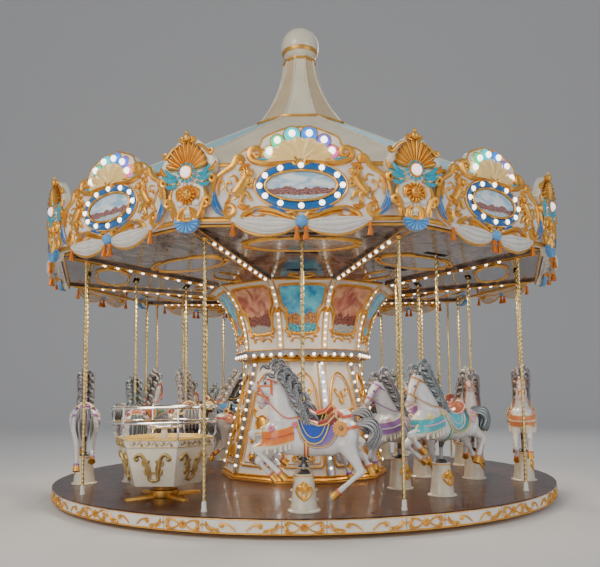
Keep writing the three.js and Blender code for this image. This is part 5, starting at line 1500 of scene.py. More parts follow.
def ornament():
    """The board over a corner by piece name: its outline, its scrolls, fan and mask, its swirls and its lamp."""
    d = ORNAMENT_FRONT
    half = [(0.0, -0.56), (-0.075, -0.50), (-0.165, -0.33), (-0.215, -0.17), (-0.20, 0.00), (-0.30, 0.07),
            (-0.34, 0.20),
            (-0.27, 0.35), (-0.16, 0.46), (-0.07, 0.52)]
    outline = closed_curve(half + [(0.0, 0.54)] + [(-x, z) for x, z in half[:0:-1]], 110)
    gold = [
        scroll([(-0.100, -0.010), (-0.190, 0.000), (-0.270, 0.055)], 0.028, d, (0.052, 1.1, 1)),
        scroll([(-0.070, -0.470), (-0.150, -0.360), (-0.205, -0.220)], 0.030, d, (0.050, 1.1, 1)),
        scroll([(-0.200, -0.070), (-0.225, -0.160), (-0.190, -0.260)], 0.022, d, (0.034, 1.0, -1)),
        scroll([(-0.030, -0.300), (-0.090, -0.330), (-0.120, -0.410)], 0.020, d + 0.01, (0.030, 1.0, 1)),
        scroll([(-0.110, 0.440), (-0.190, 0.400), (-0.260, 0.320)], 0.022, d, (0.034, 1.0, -1)),
        leaf([(-0.060, -0.050), (-0.120, -0.110), (-0.130, -0.210)], 0.032, d, 0.035, 3),
        leaf([(-0.020, -0.280), (-0.070, -0.380), (-0.050, -0.490)], 0.036, d, 0.035, 4),
        leaf([(-0.230, 0.100), (-0.310, 0.130), (-0.350, 0.210)], 0.030, d, 0.030, 3),
        leaf([(-0.140, -0.300), (-0.190, -0.350), (-0.180, -0.430)], 0.026, d, 0.025, 3),
    ]
    swirl = [
        leaf([(-0.120, 0.040), (-0.210, 0.030), (-0.330, 0.095)], 0.040, d + 0.012, 0.030, 3),
        leaf([(-0.130, 0.075), (-0.220, 0.095), (-0.290, 0.180)], 0.030, d + 0.020, 0.026, 3),
        leaf([(-0.110, 0.005), (-0.200, -0.045), (-0.290, -0.020)], 0.026, d + 0.014, 0.022, 2),
    ]
    shell = fan_shell((0, 0.120), 0.255, 0.330, d - 0.01, 12, low=0.12, thick=0.060)
    crown = [ball((0, -d - 0.030, 0.510), (0.048, 0.040, 0.048), 14, 9),
             ball((0, -d - 0.030, 0.572), (0.022, 0.020, 0.028), 10, 7),
             *(scroll([(x * 0.2, 0.455), (x, 0.475)], 0.020, d + 0.01, (0.026, 1.0, -1 if x < 0 else 1))
               for x in (-0.075, 0.075))]
    lamp = ball((0, -d - 0.055, 0.105), (0.064, 0.050, 0.064), 20, 11)
    collar = hoop(ellipse(0.070, 0.070, (0, 0.105), 30), 0.016, d + 0.045, 8)
    petals = joined([leaf([(0.075 * math.cos(a), 0.105 + 0.075 * math.sin(a)),
                           (0.125 * math.cos(a), 0.105 + 0.125 * math.sin(a))],
                          0.022, d + 0.03, 0.022, 0, 7, 5) for a in np.linspace(0, TAU, 13)[:-1]])
    inlay = joined([board(ellipse(0.050, 0.036, (x, z), 24), d, 0.018, 0.006) for x, z in
                    ((-0.105, -0.245), (0.105, -0.245), (0, -0.030), (0, -0.345))])
    hanging = fan_shell((0, 0.0), 0.150, 0.115, d - 0.005, 9, low=-0.35,
                        thick=0.045).scaled(z=-1).moved(z=-0.470)
    return dict(
        ornament_boards=[(board(outline, d - 0.10, 0.095, 0.0), CREAM)],
        ornament_carving=[(joined([pair(joined(gold)), shell, *crown, collar, mask(d + 0.012)]), GOLD)],
        ornament_swirls=[(pair(joined(swirl)), TURQUOISE), (petals, TURQUOISE), (inlay, WHITE),
                         (hanging, SKY_BLUE)],
        ornament_lamps=[(lamp.painted((1.0, 0.72, 0.80)), COLOUR_BULB)],
    )


def fascia_wall():
    """The flat ring behind the boards, with a moulded foot and head that turn the ten corners."""
    low, high, out, inner = 3.518, 4.216, 4.150, 4.105
    wall = loop_skin([(inner, low), (out, low), (out, high), (inner, high)])
    foot = loop_skin([(out - 0.01, low + 0.002), (out + 0.026, low + 0.010), (out + 0.034, low + 0.034),
                      (out + 0.020, low + 0.052), (out + 0.006, low + 0.066), (out - 0.01, low + 0.066)])
    head = loop_skin([(out - 0.01, high - 0.055), (out + 0.016, high - 0.050), (out + 0.026, high - 0.028),
                      (out + 0.016, high - 0.008), (out - 0.01, high - 0.002)])
    return wall.outward(), joined([foot.outward(), head.outward()])


def make_fascia():
    """The canopy's ten-sided wall with a crest on each face and an ornament on each corner."""
    wall, mouldings = fascia_wall()
    put("fascia_wall", [(wall, WHITE), (mouldings, GOLD)], replaces=["fascia"], slot="crest_paint")
    repeat(crest(), FACES, CREST_Z, crest_slot)
    slots = {"ornament_carving": "gold_leaf", "ornament_lamps": "bulb_glass"}
    repeat(ornament(), CORNERS, ORNAMENT_Z, lambda name: slots.get(name, "crest_paint"))


make_fascia()


# ---- Crown, column, roof trim and ceiling trim -----------------------------------------------------
APOTHEM = math.cos(TAU / SIDES / 2)
SILVER = metal("silver_trim", (0.42, 0.43, 0.46), 0.34)
CROWN_FOOT, CROWN_TOP = 2.190, 3.3017


def crown_radius(z):
    """Corner radius of the flare: 1.110 + 0.488 (1 - sqrt(1 - 0.92 t^2)) / (1 - sqrt 0.08)."""
    t = np.clip((np.asarray(z, float) - CROWN_FOOT) / (CROWN_TOP - CROWN_FOOT), 0, 1)
    return 1.110 + 0.488 * (1 - np.sqrt(1 - 0.92 * t * t)) / (1 - math.sqrt(0.08))


def column_radius(z):
    """Corner radius of the tapering column: 1.370 at the deck to 0.930 at 2.170."""
    return 1.370 + (0.930 - 1.370) * (np.asarray(z, float) - DECK) / 1.930


SPIRE_FOOT, SPIRE_RISE = 6.118, 1.382  # the height of the spire's foot, and from there to its neck


def spire_radius(z):
    """Corner radius of the bell: 0.280 + 0.606 (1 - t)^1.84."""
    t = np.clip((np.asarray(z, float) - SPIRE_FOOT) / SPIRE_RISE, 0, 1)
    return 0.280 + 0.606 * (1 - t) ** 1.84


def on_wall(form, radius, share=APOTHEM):
    """Lays a drawing whose y is minus its depth onto a wall: y' = y - share * radius(z)."""
    v = form.v.copy()
    v[:, 1] -= share * radius(v[:, 2])
    return form.at(v)


def stems(low, high, offset, radius, thick, count=14):
    """An upright moulding that follows a wall's profile beside its corner or face middle."""
    z = np.linspace(low, high, count)
    return tube(np.stack([offset + 0 * z, -radius(z), z], -1), thick, 6, up=(0, 1, 0))


def flat_uv(form, x0, x1, z0, z1):
    """A form with (u, v) = its share of the way across x0..x1 and z0..z1."""
    return Form(form.v, form.q, form.t,
                np.stack([(form.v[:, 0] - x0) / (x1 - x0), (form.v[:, 2] - z0) / (z1 - z0)], -1),
                form.tint)


def emblem(x, z, size, depth):
    """Two mirrored volutes over a leaf: the small carved emblem used on panels and pedestals."""
    one = [
        scroll([(0.0, -0.55), (-0.35, -0.30), (-0.62, 0.10), (-0.55, 0.42)], 0.13, 0, (0.26, 1.1, -1),
               count=14),
        scroll([(0.0, -0.55), (-0.18, -0.10), (-0.10, 0.35)], 0.09, 0, (0.15, 0.9, 1), count=12),
        leaf([(0.0, 0.0), (-0.10, 0.55), (0.0, 0.95)], 0.22, 0, 0.12, 0, 9, 5),
    ]
    made = pair(joined(one))
    return made.scaled(x=size, y=size, z=size).moved(x=x, y=-depth, z=z)


def make_crown():
    """The ten-sided flared crown, crown_radius(z), with its frames, pictures, pilasters, fringe and lamps."""
    rows = np.linspace(CROWN_FOOT, CROWN_TOP, 22)
    shell = [(crown_radius(z), z) for z in rows]
    wall = loop_skin([(0.890, CROWN_FOOT), *shell, *[(r - 0.022, z) for r, z in shell[::-1][:-1]],
                      (1.088, CROWN_FOOT + 0.016), (0.890, CROWN_FOOT + 0.016)])
    put("crown_shell", [(wall.outward(), WHITE)], replaces=["crown_housing"], slot="crown_paint")
    half = [(0.0, 2.520), (-0.135, 2.530), (-0.215, 2.560), (-0.235, 2.70), (-0.235, 2.86), (-0.315, 2.96),
            (-0.345, 3.10),
            (-0.350, 3.215), (-0.18, 3.235)]
    outline = closed_curve(half + [(0.0, 3.238)] + [(-x, z) for x, z in half[:0:-1]], 90)
    frame = hoop(outline, 0.017, 0.016, 7)
    view = flat_uv(board(outline, -0.004, 0.012, rings=9), -0.36, 0.36, 2.50, 3.25)
    gold = [
        scroll([(-0.250, 2.72), (-0.275, 2.83), (-0.340, 2.90)], 0.020, 0.014, (0.040, 1.0, 1)),
        scroll([(-0.225, 2.640), (-0.262, 2.575), (-0.190, 2.515)], 0.018, 0.014, (0.030, 1.0, -1)),
        scroll([(-0.02, 2.430), (-0.090, 2.455), (-0.160, 2.435)], 0.012, 0.010, (0.024, 1.0, 1)),
        scroll([(-0.01, 2.505), (-0.070, 2.500), (-0.130, 2.510)], 0.014, 0.016, (0.022, 1.0, -1)),
        leaf([(0.0, 2.40), (-0.035, 2.45), (0.0, 2.49)], 0.020, 0.010, 0.014, 0, 8, 5),
    ]
    gold = joined([frame, pair(joined(gold))])
    put("crown_frames", [(around(on_wall(gold, crown_radius), FACES), GOLD)], slot="gold_leaf")
    pictures = []
    for k, angle in enumerate(FACES):
        piece = on_wall(view, crown_radius).spun(angle)
        piece.uv = piece.uv + [5.0 * k, 0]
        pictures.append((piece, CROWN_VIEWS[(k * 3) % len(CROWN_VIEWS)] if k else CROWN_VIEWS[0]))
    put("crown_pictures", pictures, slot="picture_paint")
    zs = np.arange(2.34, 3.27, 0.095)
    edges = joined([stems(2.275, 3.285, x, crown_radius, 0.010) for x in (-0.040, 0.040)])
    lamps = joined([ball((0, -float(crown_radius(z)) - 0.006, z), (0.017, 0.015, 0.017), 8, 5) for z in zs])
    z = np.linspace(2.262, 3.290, 14)
    strip = skin(np.stack([np.stack([x + 0 * z, -crown_radius(z) - 0.004 + back, z], -1)
                           for x, back in ((-0.038, 0.0), (0.038, 0.0), (0.038, 0.03), (-0.038, 0.03))], 1))
    put("crown_pilasters", [(around(edges, CORNERS), GOLD), (around(strip.outward(), CORNERS), CREAM)],
        slot="crown_paint")
    x = np.linspace(-0.352, 0.352, 49)
    drop = 2.206 - 0.058 * np.abs(np.cos(np.pi * (x / 0.704 * 4))) ** 0.7
    up = 2.272 + 0 * x
    fringe = skin(np.stack([np.stack([x, -0.012 - y + 0 * x, e], -1) for e, y in
                            ((drop, 0.018), (up, 0.018), (up, 0.0), (drop, 0.0))], 1))
    lamp_x = np.array([-0.352, -0.176, 0.0, 0.176])
    lamp = joined([ball((q, -0.030, 2.196), (0.026, 0.022, 0.026), 10, 7) for q in lamp_x])
    rim = joined([tube(np.stack([x, -0.030 + 0 * x, drop], -1), 0.007, 5),
                  tube(np.stack([x, -0.030 + 0 * x, up], -1), 0.010, 6)])
    place = lambda form: around(on_wall(form, lambda q: crown_radius(np.maximum(q, 2.272))), FACES)
    put("crown_fringe", [(place(fringe.outward()), SILVER), (place(rim), GOLD)], slot="chrome_trim")
    put("crown_lamps", [(joined([around(lamps, CORNERS), place(lamp)]), BULB)], slot="bulb_glass")


def make_column():
    """The ten-sided column under the crown, column_radius(z), with its carving, mirrors and lamps."""
    foot = DECK + 0.0003
    body = loop_skin([(1.348, foot), (1.396, foot), (1.400, 0.292), (1.350, 0.330),
                      (column_radius(0.36), 0.36),
                      (column_radius(1.2), 1.2), (0.930, 2.170), (0.908, 2.170),
                      (column_radius(1.2) - 0.022, 1.2)])
    base = loop_skin([(1.350, foot + 0.004), (1.408, foot + 0.004), (1.410, 0.262), (1.398, 0.270),
                      (1.404, 0.288),
                      (1.388, 0.306), (1.366, 0.318), (1.372, 0.340), (1.352, 0.352), (1.32, 0.352)])
    neck = loop_skin([(0.940, 2.085), (0.985, 2.095), (0.992, 2.130), (0.968, 2.146), (0.978, 2.168),
                      (0.93, 2.168)])
    put("column_panels", [(body.outward(), WHITE)], replaces=["column_housing"], slot="column_mirror")
    half = [(0.0, 0.47), (-0.20, 0.475), (-0.305, 0.50), (-0.300, 0.70), (-0.262, 1.10), (-0.225, 1.50),
            (-0.175, 1.72),
            (-0.095, 1.86)]
    arch = hoop(closed_curve(half + [(0.0, 1.915)] + [(-x, z) for x, z in half[:0:-1]], 90), 0.015, 0.014, 7)
    inner = [(x * 0.84, 1.15 + (z - 1.15) * 0.93) for x, z in half]
    thin = hoop(closed_curve(inner + [(0.0, 1.862)] + [(-x, z) for x, z in inner[:0:-1]], 90), 0.007, 0.008,
                5)
    scrolls = pair(joined([
        scroll([(-0.020, 1.20), (-0.120, 1.22), (-0.185, 1.30)], 0.018, 0.012, (0.038, 1.1, -1)),
        scroll([(-0.020, 1.02), (-0.120, 0.98), (-0.175, 0.88)], 0.018, 0.012, (0.040, 1.1, 1)),
        scroll([(-0.010, 0.78), (-0.100, 0.72), (-0.160, 0.62)], 0.018, 0.012, (0.040, 1.1, 1)),
        scroll([(-0.010, 1.52), (-0.075, 1.55), (-0.120, 1.62)], 0.014, 0.012, (0.026, 1.1, -1)),
        leaf([(0.0, 0.55), (-0.05, 0.66), (0.0, 0.80)], 0.030, 0.010, 0.016, 2, 10, 5),
        leaf([(0.0, 1.40), (-0.04, 1.50), (0.0, 1.64)], 0.024, 0.010, 0.016, 2, 10, 5),
    ]))
    medal = joined([board(ellipse(0.094, 0.110, (0, 1.115), 36), 0.0, 0.022, 0.014),
                    hoop(ellipse(0.112, 0.128, (0, 1.115), 40), 0.012, 0.014, 6)])
    gold = joined([arch, thin, scrolls, medal])
    put("column_carving",
        [(around(on_wall(gold, column_radius), FACES), GOLD),
         (joined([base.outward(), neck.outward()]), GOLD)],
        slot="gold_leaf")
    glass = board(ellipse(0.150, 0.120, (0, 0.60), 40), 0.0, 0.006)
    z = np.linspace(0.352, 2.085, 8)
    side = [(-0.062, 0.055), (-0.050, -0.006), (0.0, -0.012), (0.050, -0.006), (0.062, 0.055)]
    pillar = skin(np.stack([np.stack([x + 0 * z, -column_radius(z) + y - 0.004, z], -1) for x, y in side], 1))
    put("column_mirrors",
        [(around(pillar.outward(), CORNERS), MIRROR), (around(on_wall(glass, column_radius), FACES), MIRROR)],
        slot="column_mirror")
    lines = joined([stems(0.36, 2.08, x, column_radius, 0.008) for x in (-0.064, 0.064)])
    put("column_stripes", [(around(lines, CORNERS), GOLD)], slot="gold_leaf")
    lamps = joined([ball((0, -float(column_radius(h)) - 0.022, h), (0.022, 0.018, 0.022), 9, 6)
                    for h in np.arange(0.46, 2.06, 0.145)])
    put("column_lamps", [(around(lamps, CORNERS), BULB)], slot="bulb_glass")


CLOTH = 0.022  # the thickness of the spire's shell


def make_spire():
    """The spire's ten-sided shell, spire_radius(z) from its foot to its neck, with its lining and rings."""
    rows = np.linspace(SPIRE_FOOT, 7.500, 20)
    shell = [(float(spire_radius(z)), z) for z in rows]
    wall = sided([(shell[0][0] - CLOTH, SPIRE_FOOT), *shell, (0.12, 7.4995)])
    inside = sided([(0.12, 7.478), *[(r - CLOTH, z) for r, z in shell[::-1][1:]]])
    put("spire_cloth", [(joined([wall, inside]).outward(), SPIRE_CANVAS)], replaces=["spire"],
        slot="spire_canvas")
    strips = around(stems(6.122, 7.49, 0.0, spire_radius, 0.017, count=20), CORNERS)
    bands = joined([loop_skin([(r - 0.012, z), (r + 0.020, z + 0.006), (r + 0.020, z + h),
                               (r - 0.012, z + h + 0.006)])
                    for r, z, h in ((0.886, 6.120, 0.040), (0.287, 7.420, 0.045))]).outward()
    put("spire_trim", [(strips, CREAM), (bands, OLD_GOLD)], slot="spire_canvas")
    a = np.linspace(-math.pi / 2, math.pi / 2, 23)
    profile = [(0.0, 7.5003), (0.240, 7.5003), (0.246, 7.512), (0.238, 7.522), (0.22, 7.515)]
    globe = [(0.335 * math.cos(t), 7.7555 + 0.335 * math.sin(t)) for t in a[a > -0.78]]
    put("finial_globe", [(lathe([(0.0, 7.515), (0.238, 7.520), *globe[:-1], (0.002, 8.0905)], 48), CREAM),
                         (lathe(profile, 40), OLD_GOLD),
                         (lathe([(0.300, 7.590), (0.322, 7.640), (0.318, 7.660), (0.300, 7.640)], 48),
                          OLD_GOLD)],
        replaces=["finial"], slot="finial_paint")


ROOF_EAVES, ROOF_EAVES_Z, ROOF_TOP = 4.122, 4.238, 0.900  # the cone's low edge, its height, and its high edge


def make_roof_trim():
    """The battens over the roof's seams, each on the cone's straight line, and the ring at its top."""
    r = np.linspace(4.10, 0.905, 12)
    z = ROOF_EAVES_Z + (ROOF_EAVES - r) * (SPIRE_FOOT - ROOF_EAVES_Z) / (ROOF_EAVES - ROOF_TOP)
    batten = tube(np.stack([0 * r, -r, z + 0.004], -1), 0.016, 6, up=(1, 0, 0))
    ring = loop_skin([(0.86, 6.098), (0.915, 6.090), (0.928, 6.110), (0.905, 6.126), (0.88, 6.126)]).outward()
    put("roof_battens", [(around(batten, CORNERS), CREAM), (ring, OLD_GOLD)], slot="roof_canvas")


def ceiling_z(corner_radius):
    """The ceiling's height at a corner radius: a straight slope."""
    return 3.302 + (np.asarray(corner_radius, float) - 1.602) * 0.0869


def under_ceiling(form, share=APOTHEM):
    """Turns a drawing to hang under the ceiling: its z becomes the distance out, its depth the drop."""
    x, y, z = form.v.T
    return form.at(np.stack([x, -z, ceiling_z(z / share) + y], -1))


def make_ceiling_trim():
    """The ceiling's painted ovals, their gilt frames, and the lines of lamps."""
    ovals, gilded = [], []
    for k, angle in enumerate(FACES):
        middle, rx, rz = (3.165, 0.66, 0.235) if k % 2 == 0 else (2.695, 0.60, 0.240)
        view = flat_uv(board(ellipse(rx, rz, (0, middle), 48), 0.001, 0.010, rings=4), -rx, rx, middle - rz,
                       middle + rz)
        view = under_ceiling(view).spun(angle)
        view.uv = view.uv + [7.0 * k, 0]
        ovals.append(view)
        trim = [hoop(ellipse(rx + 0.012, rz + 0.012, (0, middle), 56), 0.016, 0.010, 6)]
        for sign in (-1, 1):
            trim.append(pair(scroll([(-rx * 0.45, middle + sign * (rz + 0.03)),
                                     (-rx * 0.75, middle + sign * (rz - 0.02)),
                                     (-rx - 0.06, middle + sign * 0.10)], 0.016, 0.008, (0.035, 1.0, sign),
                                    count=12)))
        low, high = (1.60, 1.955) if k % 2 == 0 else (1.60, 2.26)
        trim.append(pair(scroll([(-0.06, high - 0.10), (-0.20, (low + high) / 2), (-0.06, low + 0.06)], 0.014,
                                0.008,
                                (0.035, 1.0, 1), count=12)))
        for distance, thick in ((1.545, 0.016), (3.86, 0.018)):
            span = distance * math.tan(TAU / SIDES / 2) - 0.055
            trim.append(tube(np.array([[x, -0.008, distance] for x in np.linspace(-span, span, 5)]), thick, 6,
                             up=(0, 1, 0)))
        gilded.append(under_ceiling(joined(trim)).spun(angle))
    put("ceiling_ovals", [(joined(ovals), CLOUD_VIEW)], slot="picture_paint")
    r = np.linspace(1.68, 4.00, 9)
    sides_ = joined([tube(np.stack([x + 0 * r, -0.036 + 0 * r, r], -1), 0.009, 5, up=(0, 1, 0))
                     for x in (-0.052, 0.052)])
    gilded.append(around(under_ceiling(sides_, 1.0), CORNERS))
    put("ceiling_trim", [(joined(gilded), GOLD)], slot="gold_leaf")
    lamps = joined([ball((0, -0.040, q), (0.024, 0.020, 0.024), 9, 6) for q in np.arange(1.76, 3.66, 0.19)])
    put("ceiling_lamps", [(around(under_ceiling(lamps, 1.0), CORNERS), BULB)], slot="bulb_glass")


make_crown()
make_column()
make_spire()
make_roof_trim()
make_ceiling_trim()


# ---- Pedestals, rim poles, valance and tub ---------------------------------------------------------
RIM_CIRCLE = 3.731


def round_rim(form, radius):
    """Wraps a drawing round a cylinder or cone: the angle is x / radius(z), and the depth adds to it."""
    x, y, z = form.v.T
    near = radius(z) if callable(radius) else radius
    return form.at(np.stack([(near - y) * np.sin(x / near), (y - near) * np.cos(x / near), z], -1))


def make_pedestals():
    """The white cones that the horses' poles slide in, with their emblems, rims and black boots."""
    cone = lathe([(0.034, 0.655), (0.152, 0.2415), (0.191, 0.2415), (0.191, 0.254), (0.176, 0.264),
                  (0.160, 0.270),
                  (0.156, 0.290), (0.1135, 0.640), (0.118, 0.652), (0.118, 0.664), (0.034, 0.664)], 28)
    boot = lathe([(0.033, 0.660), (0.074, 0.664), (0.080, 0.674), (0.066, 0.690), (0.046, 0.712),
                  (0.033, 0.714)], 20)
    trim = lathe([(0.110, 0.640), (0.124, 0.643), (0.124, 0.652), (0.110, 0.655)], 28)
    lean = lambda z: 0.157 - (z - 0.270) * 0.1168
    badge = round_rim(emblem(0, 0.455, 0.140, 0.002), lean)
    cones, boots, gold = [], [], []
    for k, angle in enumerate(FACES[:-1]):
        for _, radius, _ in ROWS[(k + 1) % 2]:
            stand = lambda form: form.moved(y=-radius).spun(angle)
            cones.append(stand(cone))
            boots.append(stand(boot))
            gold += [stand(badge), stand(trim)]
    put("pedestal_cones", [(joined(cones), CREAM), (joined(gold), GOLD)], slot="deck_lacquer")
    put("pedestal_boots", [(joined(boots), BLACK)], slot="deck_lacquer")


def make_rim_poles():
    """The ten twisted brass poles at the rim, each with a white foot and a gilt cap."""
    shaft = twisted(0.300, 3.446, 0.0225, 0.060)
    foot = lathe([(0.0, 0.2405), (0.036, 0.2405), (0.0365, 0.262), (0.030, 0.275), (0.0285, 0.330),
                  (0.024, 0.362), (0.0, 0.364)], 20)
    cap = lathe([(0.0, 3.405), (0.028, 3.405), (0.036, 3.440), (0.0, 3.448)], 16)
    for k, angle in enumerate(CORNERS):
        stand = lambda form: form.moved(y=-RIM_CIRCLE).spun(angle)
        put(f"rim_pole_{k + 1}_brass", [(stand(shaft), BRASS), (stand(foot), WHITE), (stand(cap), GOLD)],
            replaces=[f"rim_pole_{k + 1}"], slot="rim_brass")


def make_valance_trim():
    """Scrolls and a flower in each of the deck edge's 18 lengths, its two beads and its seams."""
    step = TAU / 18
    one = [
        scroll([(-0.045, 0.150), (-0.110, 0.186), (-0.185, 0.192)], 0.013, 0.004, (0.021, 1.2, 1), count=12),
        scroll([(-0.045, 0.134), (-0.110, 0.098), (-0.185, 0.092)], 0.013, 0.004, (0.021, 1.2, -1), count=12),
        scroll([(-0.285, 0.188), (-0.345, 0.120), (-0.420, 0.112)], 0.012, 0.004, (0.022, 1.2, 1), count=12),
        scroll([(-0.285, 0.180), (-0.300, 0.120), (-0.350, 0.095)], 0.011, 0.004, (0.020, 1.0, -1), count=10),
        scroll([(-0.640, 0.098), (-0.560, 0.160), (-0.485, 0.172)], 0.012, 0.004, (0.022, 1.2, -1), count=12),
        leaf([(-0.215, 0.142), (-0.250, 0.150), (-0.278, 0.142)], 0.016, 0.004, 0.010, 0, 7, 5),
    ]
    petals = [leaf([(0.012 * math.cos(t), 0.142 + 0.012 * math.sin(t)),
                    (0.046 * math.cos(t), 0.142 + 0.050 * math.sin(t))],
                   0.016, 0.004, 0.014, 0, 6, 5) for t in np.linspace(0, TAU, 9)[:-1]]
    drawing = joined([pair(joined(one)), *petals, ball((0, -0.016, 0.142), (0.016, 0.012, 0.016), 10, 6)])
    gold = around(round_rim(drawing, 3.990), [k * step for k in range(18)])
    bead = lathe([(3.985, 0.214), (3.996, 0.214), (3.998, 0.219), (3.996, 0.2235), (3.985, 0.2235)], 120)
    foot = lathe([(3.982, 0.062), (3.998, 0.062), (3.998, 0.072), (3.990, 0.078), (3.982, 0.078)], 120)
    put("valance_carving", [(gold, GOLD), (joined([bead, foot]), GOLD)], slot="gold_leaf")
    seams = joined([board(np.array([(-0.245 * s - 0.002, 0.080), (-0.245 * s + 0.002, 0.080),
                                    (-0.245 * s + 0.002, 0.212),
                                    (-0.245 * s - 0.002, 0.212)]), 0.0, 0.0015, bevel=0.0003)
                    for s in (-1, 1)])
    put("valance_seams", [(around(round_rim(seams, 3.990), [k * step for k in range(18)]), BLACK)],
        slot="valance_paint")


TUB_AT = (-1.8654, -2.3877)
TUB_SIDES = 6
TUB_CORNERS = [math.radians(26 + 60 * k) for k in range(TUB_SIDES)]
TUB_FACES = [math.radians(-4 + 60 * k) for k in range(TUB_SIDES)]
TUB_SHARE = math.cos(math.pi / TUB_SIDES)
# The second colour is the painted shade in the scrolls' hollows.
TUB_BRASS = gilt("aged_brass_scrolls", (0.62, 0.46, 0.20), (0.30, 0.18, 0.06), rough=0.3)
TUB_YELLOW = enamel("tub_yellow", (0.86, 0.58, 0.14), dust_shade_colour=(0.4, 0.2, 0.04))
TUB_CREAM = enamel("tub_cream", (0.88, 0.80, 0.64), dust_shade=0.5)


def tub_radius(z):
    """Corner radius of the tub's wall: 0.500 at the floor to 0.675 at the rim."""
    return 0.500 + 0.175 * (np.asarray(z, float) - 0.425) / 0.605


def hexagon(profile, across=3):
    """A profile of (corner radius, height) round six flat sides."""
    t = np.linspace(0, 1, across + 1)[:-1]
    corner = np.array([(math.sin(a), -math.cos(a)) for a in TUB_CORNERS])
    after = np.roll(corner, -1, 0)
    flat = (corner[:, None] * (1 - t[None, :, None]) + after[:, None] * t[None, :, None]).reshape(-1, 2)
    p = np.asarray(profile, float)
    return skin(np.stack([p[:, :1] * flat[:, 0], p[:, :1] * flat[:, 1], np.repeat(p[:, 1:], len(flat), 1)],
                         -1),
                low="open", high="open")


def hex_loop(profile):
    """A six-sided wall whose profile closes on itself."""
    return hexagon(list(profile) + [profile[0]]).outward()


def at_tub(form):
    """A form moved from the mast's axis to the tub's."""
    return form.moved(x=TUB_AT[0], y=TUB_AT[1])


def make_tub():
    """The six-sided tub that spins: shell, lining, carved scrolls and rails."""
    r = tub_radius
    shell = hex_loop([(0.062, 0.425), (0.492, 0.425), (0.500, 0.434), (r(0.90), 0.90), (r(1.026), 1.026),
                      (r(1.026) - 0.006, 1.030),
                      (0.650, 1.030), (r(0.9) - 0.030, 0.90), (0.530, 0.66), (0.455, 0.455), (0.062, 0.455)])
    band = hex_loop([(r(0.925) - 0.004, 0.925), (r(0.925) + 0.010, 0.930), (r(1.01) + 0.010, 1.010),
                     (r(1.02), 1.020), (r(0.98) - 0.004, 0.98)])
    lining = hex_loop([(0.648, 1.032), (0.670, 1.034), (0.682, 1.024), (0.676, 1.016), (0.60, 0.99),
                       (0.560, 0.76), (0.30, 0.72),
                       (0.30, 0.74), (0.5485, 0.775), (0.632, 1.02)])
    seat = hex_loop([(0.271, 0.455), (0.264, 0.690), (0.280, 0.722), (0.320, 0.734), (0.500, 0.730),
                     (0.540, 0.700), (0.455, 0.465)])
    put("tub_shell", [(at_tub(shell), TUB_CREAM), (at_tub(band), WHITE)], body="tub", replaces=["tub"],
        slot="tub_paint")
    put("tub_lining", [(at_tub(lining), TUB_YELLOW), (at_tub(seat), TUB_YELLOW)], body="tub",
        slot="tub_paint")
    one = [
        scroll([(-0.004, 0.500), (-0.062, 0.520), (-0.062, 0.600), (-0.085, 0.690), (-0.110, 0.790),
                (-0.165, 0.835),
                (-0.215, 0.800)], 0.024, 0.008, (0.022, 0.9, 1), 1.0, 8, 26),
        scroll([(-0.052, 0.590), (-0.042, 0.650), (-0.072, 0.735)], 0.016, 0.010, (0.018, 0.8, -1), count=14),
        leaf([(-0.060, 0.560), (-0.098, 0.600), (-0.110, 0.660)], 0.024, 0.006, 0.016, 3, 10, 5),
        leaf([(-0.085, 0.690), (-0.125, 0.710), (-0.140, 0.760)], 0.020, 0.006, 0.014, 2, 9, 5),
    ]
    loop = hoop(ellipse(0.046, 0.060, (0, 0.545), 26), 0.013, 0.010, 6)
    wave = []
    for x in (-0.235, -0.140, -0.045, 0.050, 0.145, 0.240):
        side = 1 if round((x + 0.235) / 0.095) % 2 else -1
        wave.append(scroll([(x - 0.045, 0.970 - 0.018 * side), (x - 0.010, 0.970 + 0.020 * side),
                            (x + 0.024, 0.970)],
                           0.009, 0.012, (0.016, 1.1, -side), count=10))
    edge = [tube(np.stack([np.linspace(-w, w, 5), -0.010 + 0 * np.ones(5), z + 0 * np.ones(5)], -1), 0.006, 5)
            for w, z in ((0.315, 0.928), (0.328, 1.012))]
    gold = around(on_wall(joined([pair(joined(one)), loop, *wave, *edge]), tub_radius, TUB_SHARE), TUB_FACES)
    put("tub_scrolls", [(at_tub(gold), TUB_BRASS)], body="tub", slot="gold_leaf")
    rails = [hoop_at(z, 0.695, 0.016) for z in (1.230, 1.420)]
    posts = []
    for t in TUB_CORNERS:
        line = smooth_path([(0.655, 1.012), (0.682, 1.060), (0.695, 1.130), (0.695, 1.418)], 16)
        posts.append(tube(np.stack([line[:, 0] * math.sin(t), -line[:, 0] * math.cos(t), line[:, 1]], -1),
                          0.0135, 8))
        posts += [ball((0.695 * math.sin(t), -0.695 * math.cos(t), z), (0.022, 0.022, 0.018), 10, 6)
                  for z in (1.230, 1.420)]
    put("tub_rails", [(at_tub(joined([*rails, *posts])), CHROME)], body="tub", slot="chrome_trim")


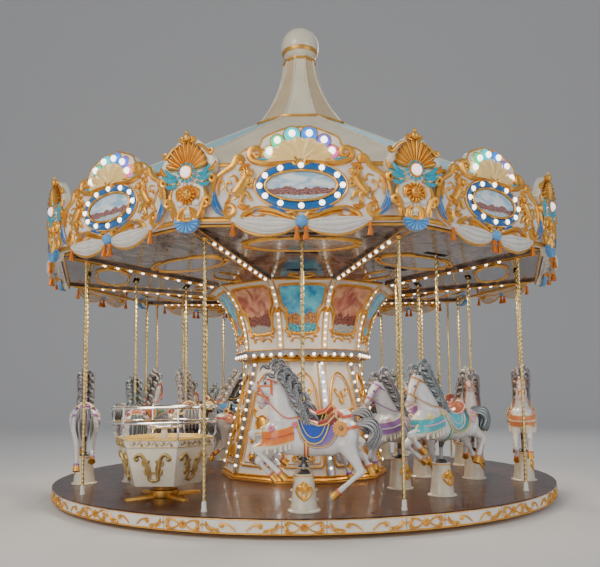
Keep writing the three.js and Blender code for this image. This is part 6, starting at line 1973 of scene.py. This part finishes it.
def hoop_at(z, radius, thick, sides=8):
    """A level ring: a circle of the radius at height z."""
    a, b = TAU * np.arange(72)[:, None] / 72, TAU * np.arange(sides)[None] / sides
    r = radius + thick * np.cos(b)
    ring = np.stack([r * np.cos(a), r * np.sin(a), z + thick * np.sin(b) + 0 * a], -1)
    return skin(np.concatenate([ring, ring[:1]]), low="open", high="open").outward()


def make_tub_base():
    """The tub's legs and hub, and its post with the spoked handwheel."""
    legs = []
    for turn in (-48, 42):
        x = np.array([-0.560, -0.540, -0.30, -0.12, 0.12, 0.30, 0.540, 0.560])
        top = np.array([0.262, 0.268, 0.284, 0.298, 0.298, 0.284, 0.268, 0.262])
        half = np.array([0.030, 0.040, 0.0475, 0.0475, 0.0475, 0.0475, 0.040, 0.030])
        low = 0.2403 + 0 * x
        ring = np.stack([np.stack([x, s * half, z], -1) for s,
                         z in ((-1, low), (1, low), (0.92, top - 0.008), (0.8, top), (-0.8, top),
                               (-0.92, top - 0.008))], 1)
        legs.append(skin(ring).outward().spun(math.radians(turn)))
    hub = lathe([(0.0, 0.245), (0.180, 0.245), (0.190, 0.300), (0.186, 0.330), (0.150, 0.345), (0.140, 0.385),
                 (0.170, 0.400), (0.172, 0.420), (0.0, 0.421)], 40)
    post = lathe([(0.0, 0.42), (0.050, 0.42), (0.048, 0.50), (0.044, 0.80), (0.048, 1.06), (0.040, 1.12),
                  (0.0, 1.14)], 24)
    wheel = hoop_at(1.162, 0.219, 0.0155, 10)
    spokes = [tube(np.array([[0.03 * math.cos(t), 0.03 * math.sin(t), 1.156],
                             [0.215 * math.cos(t), 0.215 * math.sin(t), 1.162]]), 0.010, 7)
              for t in np.linspace(0, TAU, 5)[:-1]]
    boss = lathe([(0.0, 1.130), (0.045, 1.132), (0.052, 1.150), (0.036, 1.172), (0.0, 1.178)], 24)
    put("tub_legs", [(at_tub(joined([*legs, hub])), OLD_GOLD)], replaces=["tub_base"], slot="gold_leaf")
    put("tub_post", [(at_tub(post), WHITE), (at_tub(joined([wheel, *spokes, boss])), CHROME)],
        slot="chrome_trim")


make_pedestals()
make_rim_poles()
make_valance_trim()
make_tub()
make_tub_base()
